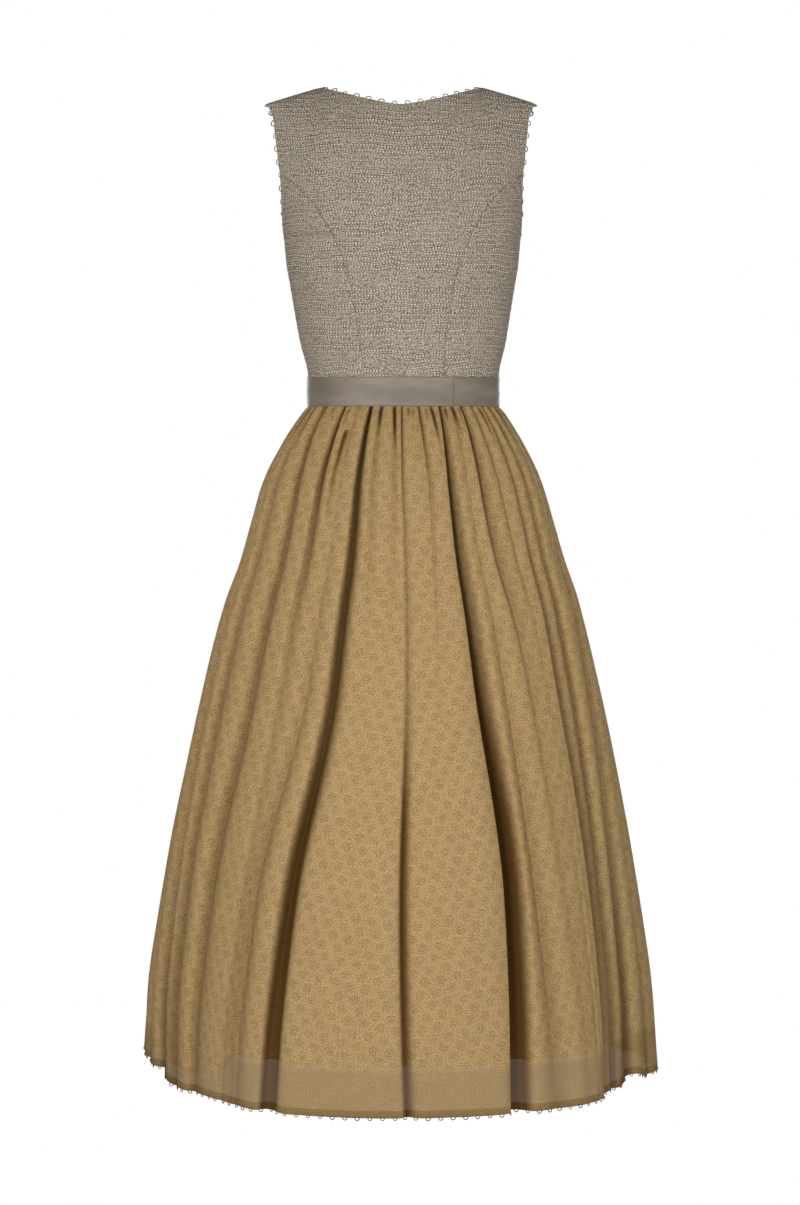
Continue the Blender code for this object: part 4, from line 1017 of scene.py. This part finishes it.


# Points of the cloth at each height and column, and the share of painted shade that each gets for lying in a
# fold, from 0 to 1. inset moves the whole surface inwards and widen opens its slots, for the layer below.
def skirtSurface(heights, owner, share, inset=0.0, widen=0.0):
    gathers, stations = skirt["gathers"], skirt["stations"]
    length, below = lengthAt(heights), skirt["waist"] - heights
    angles = np.array([monotone(stations, gather[:5], length) for gather in gathers]).T
    depths = np.array([monotone(stations, gather[5:10], length) for gather in gathers]).T / 1000
    setBacks, overhangs, widths, softs, pinches = np.array([gather[10:] for gather in gathers]).T
    setBacks, overhangs = setBacks / 1000, overhangs / 1000
    pinched = (rising(below, skirt["pinchFrom"], skirt["pinchFull"])
               * np.clip(1 - (below - skirt["pinchFull"]) / skirt["pinchTo"], 0, 1) ** 1.5)
    depths = depths + pinched[:, None] * pinches / 1000
    following = (owner + 1) % len(gathers)
    start, end = angles[:, owner], angles[:, following]
    end = np.where(end < start, end + 360, end)
    angle = np.radians(start + (end - start) * share)
    z = np.broadcast_to(heights[:, None], angle.shape)
    points = planPoint(angle, z)
    outward, sideways, rate = planFrame(angle, z)
    span = np.radians(end - start) * rate

    slot = (monotone(skirt["slotLengths"], skirt["slotWidths"], length) + widen)[:, None]
    first, whole = skirt["overhangFrom"]
    grow = first + (1 - first) * rising(length, 0, whole)[:, None]
    rollDepth, slotDepth = [monotone(stations, skirt[name], length)[:, None]
                            for name in ("rollDepths", "slotDepths")]
    crispPower, plainPower, softPower = skirt["slotPower"]
    depth, over, fold = np.zeros((3, *angle.shape))
    for part, which, side in ((share, owner, 1), (1 - share, following, -1)):
        distance = span * part
        here, soft = depths[:, which], softs[which]
        lean = overhangs[which] * 1000 * side  # positive on the side that the valley's floor lies under
        wide = np.where(lean > 0, skirt["crispShare"], 1 - skirt["softGain"] * np.minimum(lean, 0))
        wide = wide * widths[which] * (1 + soft**2)
        power = np.where(lean > 0, crispPower, np.where(lean < 0, softPower, plainPower))
        deep = rising(here, *skirt["deepFrom"])
        power = power + skirt["deepPower"] * deep
        dent = np.exp(-(distance / (slot * wide)) ** power)
        roll = np.maximum(1 - 2 * part, 0) ** skirt["ridgePower"]
        depth += here * (soft * rollDepth * roll + (1 - skirt["softDent"] * soft) * slotDepth * dent)
        narrow = np.exp(-(distance / (slot * widths[which])) ** plainPower)
        under = overhangs[which] * (1 - skirt["softOverhang"] * soft**2) * grow
        over += under * narrow * rising(here, 0, skirt["overhangDepth"])
        # painted shade: how dark this valley is painted, less where it is soft and more where it is deep
        dark = 1 - soft * skirt["softDent"] + deep * skirt["softDent"]
        fold += dent * rising(here, 0, skirt["shadeDepth"]) * dark

    before, after = (setBacks[owner - 1] + setBacks[owner]) / 2, (setBacks[owner] + setBacks[following]) / 2
    nearest = np.where(share < 0.5, before, after)
    easeIn = np.clip(np.minimum(share, 1 - share) / 0.5, 0, 1)
    easeIn = easeIn * easeIn * (3 - 2 * easeIn)
    depth += (nearest + (setBacks[owner] - nearest) * easeIn) * (length**skirt["setBackPower"])[:, None]
    addCreases(depth, fold, angle, rate, below)
    uneven = []
    for seed, name in ((77, "ripple"), (78, "flutter")):
        height, around, down = skirt[name]
        grown = rising(length, *skirt[name + "From"])[:, None]
        uneven.append(height * waves(seed, angle * around, length[:, None] * down + 0 * angle) * grown)
    inwards = depth + inset - uneven[0] - uneven[1]
    points = points - outward * inwards[..., None] + sideways * over[..., None]
    around = (np.degrees(angle) + 180) % 360 - 180
    rise = monotone(skirt["hemAngles"], skirt["hemRises"], around)
    points[..., 2] += rise * length[:, None] ** skirt["hemRisePower"]
    return points, np.clip(fold, 0, 1)


# Presses the short creases into the depths, and their painted shade into the fold shades, that it is given
def addCreases(depth, fold, angle, rate, below):
    for crease in allCreases():
        reach = crease.end - crease.start
        down = (below * 1000 - crease.start) / reach
        strength = np.clip(down * reach / skirt["creaseEase"], 0, 1) * np.clip(1 - down, 0, 1) ** 1.2
        line = np.radians(crease.top + (crease.bottom - crease.top) * np.clip(down, 0, 1))
        distance = (angle - line[:, None]) * rate * 1000
        wide = np.where(distance < 0, crease.left, crease.right)
        dent = strength[:, None] * np.exp(-np.abs(distance / wide) ** 2)
        depth += skirt["creaseDepth"] * crease.depth / 1000 * dent
        # painted shade in the crease
        fold += skirt["creaseShade"] * dent * crease.depth / skirt["creaseFullShade"]


# Places on the flat cloth for each face strip. The pattern keeps its size and breaks only in deep folds.
def patternPlaces(points, owner, share):
    rows, columns = points.shape[:2]
    steps = np.linalg.norm(np.roll(points, -1, axis=1) - points, axis=-1)
    down = arcUp(points)
    hem = np.concatenate([[0], np.cumsum(steps[-1])])
    breaks = [c for c in range(columns)
              if share[c] == 0 and skirt["gathers"][owner[c]].dHem >= skirt["breakDepth"]]
    leftUv, rightUv = np.zeros((2, rows, columns, 2))
    for here, there in zip(breaks, breaks[1:] + [breaks[0] + columns]):
        chosen = np.arange(here, there) % columns
        run = np.concatenate([np.zeros((rows, 1)), np.cumsum(steps[:, chosen], axis=1)], axis=1)
        middle = len(chosen) // 2
        centre = hem[here] + run[-1, middle]
        u = centre + run - run[:, middle:middle + 1]
        leftUv[:, chosen, 0] = u[:, :-1]
        rightUv[:, chosen, 0] = u[:, 1:]
    leftUv[..., 1] = -down
    rightUv[..., 1] = -np.roll(down, -1, axis=1)
    return leftUv, rightUv


def underDrop(points):
    around = np.degrees(np.arctan2(-points[..., 0], points[..., 1]))
    return monotone(skirt["underHemAngles"], skirt["underHemDrops"], around)


def outwardNormals(points):
    normals = gridNormals(points, ring=True)
    row = len(points) // 2
    return normals * np.sign(np.dot(normals[row, 0, :2], points[row, 0, :2]))


# Folds the hem inwards and up again behind itself. Returns all rows and their normals.
def turnedHem(points, normals):
    rows, facing = [points], [normals]
    up = unit(points[-2] - points[-1])
    for rise, back, turn in skirt["turnedRows"]:
        rows.append((points[-1] + up * rise - normals[-1] * back)[None])
        turn = math.radians(turn)
        facing.append((normals[-1] * math.cos(turn) - up * math.sin(turn))[None])
    return np.concatenate(rows), np.concatenate(facing)


# Four sheer widths. Returns them and the outer cloth's points and normals.
def buildSheers(heights, owner, share, material):
    points, fold = skirtSurface(heights, owner, share)
    normals = outwardNormals(points)
    cloth, facing = turnedHem(points, normals)
    extra = len(cloth) - len(points)
    underHem = skirt["underHem"]
    places = patternPlaces(cloth, owner, share)
    down = arcUp(points)
    grids = {
        # painted shade in the folds; the turned hem's rows take the hem's painted shade
        "paintedFoldShade": np.concatenate([fold, np.repeat(fold[-1:], extra, axis=0)]),
        "fromHem": np.concatenate([down[-1] - down, np.zeros((extra, len(owner)))]),
        "lined": np.clip((cloth[..., 2] - underHem + underDrop(cloth)) / skirt["hemOfLining"], 0, 1),
    }
    starts = [int(np.nonzero((owner == i) & (share == 0))[0][0]) for i in (0, *skirt["seamRows"])]
    pieces = {}
    sides = ("front_left", "back_left", "back_right", "front_right")
    for side, first, last in zip(sides, starts, starts[1:] + [len(owner)]):
        chosen = np.s_[::-1, np.arange(first, last + 1) % len(owner)]
        mirror = -1 if side.endswith("left") else 1
        faceUv = tuple(part[chosen] * np.array([mirror, 1]) for part in places)
        values = {label: grid[chosen] for label, grid in grids.items()}
        pieces["skirt_" + side] = clothShell("sheer_" + side, cloth[chosen], facing[chosen], skirt["wall"],
                                             material, faceUv=faceUv, values=values)
    return pieces, points, normals


def buildUnderskirt(heights, owner, share, material):
    below = int(np.argmin(np.abs(heights - skirt["underHem"])))
    kept = [row for row in range(below) if row < skirt["underFineRows"] or row % 2 == 0]
    heights = np.append(heights[kept], skirt["underHem"])
    length = lengthAt(heights)
    start, full = skirt["underInset"]
    deeper = rising(length, *skirt["underInsetFrom"])
    points, fold = skirtSurface(heights, owner, share, inset=(start + (full - start) * deeper)[:, None],
                                widen=skirt["underWiden"] * deeper)
    lower = underDrop(points[-1]) * rising(length, skirt["underDropFrom"], length[-1])[:, None]
    points[..., 2] -= lower
    last, before = points[-1], points[-2]
    flare = (last[:, :2] - before[:, :2]) / (before[:, 2] - last[:, 2])[:, None]
    points[..., :2] += flare * lower[..., None]
    faceUv = tuple(part[::-1] for part in patternPlaces(points, owner, share))
    return clothShell("taffeta_underskirt", points[::-1], outwardNormals(points)[::-1], skirt["underWall"],
                      material, faceUv=faceUv, ring=True, values={"paintedFoldShade": fold[::-1]})


def buildSkirt(cloth, lining):
    owner, share = gatherColumns()
    steps = np.linspace(0, 1, skirt["rows"])
    even, power = skirt["rowsClosing"]
    heights = skirt["waist"] + (skirt["hem"] - skirt["waist"]) * (even * steps + (1 - even) * steps**power)
    pieces, points, normals = buildSheers(heights, owner, share, cloth)
    pieces["underskirt"] = buildUnderskirt(heights, owner, share, lining)
    return pieces, points, normals


band = {
    "start": 23.0,  # angle at which the ribbon starts, and at which it ends after one turn
    "lapEnd": 30.4,
    "ramp": 7.0,  # degrees over which its end climbs onto its start
    "risen": 0.5,  # degrees before the start by which it has climbed
    "top": -0.3669,
    "bottom": -0.4043,
    "wall": 0.0012,
    "gap": 0.0004,  # between the two layers of the lap
    "off": 0.0003,  # from the skirt's cloth
    "crown": 0.0005,  # how far its middle stands out
    "creases": 0.00035,
    "longCreases": 0.6,  # height of the long ones as a share of the others
    "columns": 420,
    "rows": 15,
}


# One satin ribbon round the waist, whose end laps over its start
def buildBand(material):
    degrees = np.linspace(band["start"], band["lapEnd"] + 360, band["columns"])
    risen = band["start"] + 360 - band["risen"]
    lift = (band["wall"] + band["gap"]) * np.clip((degrees - risen + band["ramp"]) / band["ramp"], 0, 1)
    z = np.linspace(band["bottom"], band["top"], band["rows"])
    angle = np.broadcast_to(np.radians(degrees), (len(z), len(degrees)))
    waist = np.full(angle.shape, skirt["waist"])
    points = planPoint(angle, waist)
    outward, _, _ = planFrame(angle, waist)
    points[..., 2] = z[:, None]
    along = np.concatenate([[0], np.cumsum(np.linalg.norm(np.diff(points[0], axis=0), axis=1))])
    up = (z - z[0])[:, None] + 0 * along
    short, long = waves(41, along / 0.07 + 0 * up, up / 0.05), waves(42, along / 0.16 + 0 * up, up / 0.018)
    crease = band["creases"] * (short + band["longCreases"] * long)
    half = up.max() / 2
    crown = band["crown"] * (1 - ((up - half) / half) ** 4)
    points = points + outward * (band["off"] + band["wall"] + lift + crease + crown)[..., None]
    uv = np.stack([np.broadcast_to(along, up.shape), up], axis=-1)
    normals = gridNormals(points)
    if np.sum(normals * outward, axis=-1).mean() < 0:
        points, normals, uv = points[:, ::-1], -normals[:, ::-1], uv[:, ::-1]
    return clothShell("satin_waistband", points, normals, band["wall"], material, uv=uv)


picot = {
    "bodicePitch": 0.0172,
    "hemPitch": 0.0154,
    "radius": 0.0034,
    "hemRadius": 0.0024,
    "rise": 0.0003,  # from the cloth's edge to a loop's centre
    "threadRadius": 0.00056,
    "startAngle": -32,  # where a loop's arch starts, and how far it goes round, in degrees
    "sweep": 244,
    "sides": 5,
    "steps": 10,
    "unevenTurn": 0.16,
    "turnShares": (1.0, 0.6, 1.0),  # how much of it goes to each of a loop's own axes
    "unevenSize": 0.14,
    "seed": 5,
}


# Joins panel edges into one path: middle points, cloth normals and directions off the cloth
def edgeFrames(parts):
    frames = []
    for points, normals, inside in parts:
        along = unit(np.gradient(points, axis=0))
        away = unit(np.cross(normals, along))
        away *= np.sign(np.sum(away * (points - inside), axis=-1, keepdims=True))
        frames.append((points - normals * bodice["wall"] / 2, normals, away))
    return [np.concatenate(part) for part in zip(*frames)]


def placesAlong(path, pitch):
    reach = np.concatenate([[0], np.cumsum(np.linalg.norm(np.diff(path[0], axis=0), axis=1))])
    count = round(reach[-1] / pitch)
    at = (np.arange(count) + 0.5) * reach[-1] / count
    sampled = [np.stack([np.interp(at, reach, part[:, k]) for k in range(3)], axis=1) for part in path]
    return sampled[0], unit(sampled[1]), unit(sampled[2])


# Geometry nodes: a thread loop on each point, standing off the cloth along the point's off
def picotTree():
    tree = bpy.data.node_groups.new("picot loops", "GeometryNodeTree")
    for name, kind in (("Geometry", "Geometry"), ("Radius", "Float"), ("Thread Radius", "Float"),
                       ("Uneven Turn", "Float"), ("Uneven Size", "Float"), ("Seed", "Int"),
                       ("Material", "Material")):
        tree.interface.new_socket(name, in_out="INPUT", socket_type="NodeSocket" + kind)
    tree.interface.new_socket("Geometry", in_out="OUTPUT", socket_type="NodeSocketGeometry")
    given = addNode(tree, ("NodeGroupInput", {})).outputs
    # an arch from foot to foot in the loop's own XZ plane
    start, sweep = math.radians(picot["startAngle"]), math.radians(picot["sweep"])
    arch = addNode(tree, ("GeometryNodeCurveArc", {"mode": "RADIUS"}),
                   {"Resolution": picot["steps"], "Radius": given["Radius"], "Start Angle": start,
                    "Sweep Angle": sweep})
    stand = addNode(tree, ("GeometryNodeTransform", {}),
                    {"Geometry": arch, "Rotation": (math.pi / 2, 0, 0), "Translation": (0, 0, picot["rise"])})
    outline = addNode(tree, ("GeometryNodeCurvePrimitiveCircle", {"mode": "RADIUS"}),
                      {"Resolution": picot["sides"], "Radius": given["Thread Radius"]})
    loop = addNode(tree, ("GeometryNodeCurveToMesh", {}),
                   {"Curve": stand, "Profile Curve": outline, "Fill Caps": True})
    points = addNode(tree, ("GeometryNodeMeshToPoints", {}), {"Mesh": given["Geometry"]})
    attribute = ("GeometryNodeInputNamedAttribute", {"data_type": "FLOAT_VECTOR"})
    off, along = [addNode(tree, attribute, {"Name": name}) for name in ("off", "along")]
    upright = ("FunctionNodeAxesToRotation", {"primary_axis": "Z", "secondary_axis": "X"})
    axes = addNode(tree, upright, off, along)
    low, high = [addNode(tree, vectorScale, {0: tuple(way * share for share in picot["turnShares"]),
                                             "Scale": given["Uneven Turn"]}) for way in (-1, 1)]
    turn = addNode(tree, ("FunctionNodeRandomValue", {"data_type": "FLOAT_VECTOR"}),
                   {0: low, 1: high, "Seed": given["Seed"]})
    spin = addNode(tree, ("FunctionNodeRotateRotation", {"rotation_space": "LOCAL"}), axes, turn)
    size = addNode(tree, ("FunctionNodeRandomValue", {"data_type": "FLOAT"}),
                   {2: [subtract, 1.0, given["Uneven Size"]], 3: [add, 1.0, given["Uneven Size"]],
                    "Seed": given["Seed"]})
    each = addNode(tree, ("GeometryNodeInstanceOnPoints", {}),
                   {"Points": points, "Instance": loop, "Rotation": spin, "Scale": size})
    shade = addNode(tree, ("GeometryNodeSetShadeSmooth", {}), [("GeometryNodeRealizeInstances", {}), each])
    dyed = addNode(tree, ("GeometryNodeSetMaterial", {}), {"Geometry": shade, "Material": given["Material"]})
    addNode(tree, ("NodeGroupOutput", {}), dyed)
    return tree


def buildPicots(name, path, pitch, radius, tree, material, seed):
    middle, normal, off = placesAlong(path, pitch)
    along = unit(np.cross(off, normal))
    mesh = bpy.data.meshes.new(name + "_places")
    mesh.from_pydata(middle.tolist(), [], [])
    for label, data in (("off", off), ("along", along)):
        layer = mesh.attributes.new(label, "FLOAT_VECTOR", "POINT")
        layer.data.foreach_set("vector", data.astype(np.float32).ravel())
    carrier = bpy.data.objects.new(name + "_carrier", mesh)
    bpy.context.scene.collection.objects.link(carrier)
    modifier = carrier.modifiers.new("picots", "NODES")
    modifier.node_group = tree
    values = {"Radius": radius, "Thread Radius": picot["threadRadius"], "Uneven Turn": picot["unevenTurn"],
              "Uneven Size": picot["unevenSize"], "Seed": picot["seed"] + seed, "Material": material}
    for item in tree.interface.items_tree:
        if item.in_out == "INPUT" and item.name in values:
            modifier[item.identifier] = values[item.name]
    bpy.context.view_layer.update()
    graph = bpy.context.evaluated_depsgraph_get()
    result = bpy.data.meshes.new_from_object(carrier.evaluated_get(graph))
    bpy.data.objects.remove(carrier)
    piece = bpy.data.objects.new(name, result)
    bpy.context.scene.collection.objects.link(piece)
    return piece


def reverse(part):
    return tuple(values[::-1] for values in part)


# Joins a path's end to its start
def closed(path):
    return [np.concatenate([values, values[:1]]) for values in path]


def buildAllPicots(neck, armholes, hemPoints, hemNormals, material):
    tree = picotTree()
    pitch, radius = picot["bodicePitch"], picot["radius"]
    path = edgeFrames([neck[-1], neck["back"], reverse(neck[1])])
    pieces = {"neck_picots": buildPicots("picots_neck", path, pitch, radius, tree, material, 1)}
    for side, label in ((-1, "left"), (1, "right")):
        parts = armholes[side, "back"] + [reverse(part) for part in reversed(armholes[side, "front"])]
        path = closed(edgeFrames(parts))
        piece = buildPicots(f"picots_armhole_{label}", path, pitch, radius, tree, material, 3 + side)
        pieces[f"armhole_{label}_picots"] = piece
    down = np.broadcast_to((0.0, 0.0, -1.0), hemPoints.shape)
    path = closed((hemPoints, hemNormals, down))
    pitch, radius = picot["hemPitch"], picot["hemRadius"]
    pieces["hem_picots"] = buildPicots("picots_hem", path, pitch, radius, tree, material, 9)
    return pieces


def declare(piece, node):
    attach(piece, "root")
    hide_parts(node)


buildCamera()
buildStudio()
print("stage: camera and studio")
cloths = {"boucle": boucleMaterial(), "satin": satinMaterial(), "organza": organzaMaterial(),
          "taffeta": taffetaMaterial(), "thread": threadMaterial()}
print("stage: materials")
bodicePieces, neckEdges, armholeEdges = buildBodice(cloths["boucle"])
print("stage: bodice")
skirtPieces, skirtPoints, skirtNormals = buildSkirt(cloths["organza"], cloths["taffeta"])
print("stage: skirt")
bandPiece = buildBand(cloths["satin"])
picotPieces = buildAllPicots(neckEdges, armholeEdges, skirtPoints[-1], skirtNormals[-1], cloths["thread"])
print("stage: waistband and picots")

for node, piece in bodicePieces.items():
    declare(piece, node)
for node, piece in skirtPieces.items():
    if node == "underskirt":
        declare(piece, node)
    else:
        declare(piece, node)
declare(bandPiece, "waistband")
for node, piece in picotPieces.items():
    declare(piece, node)
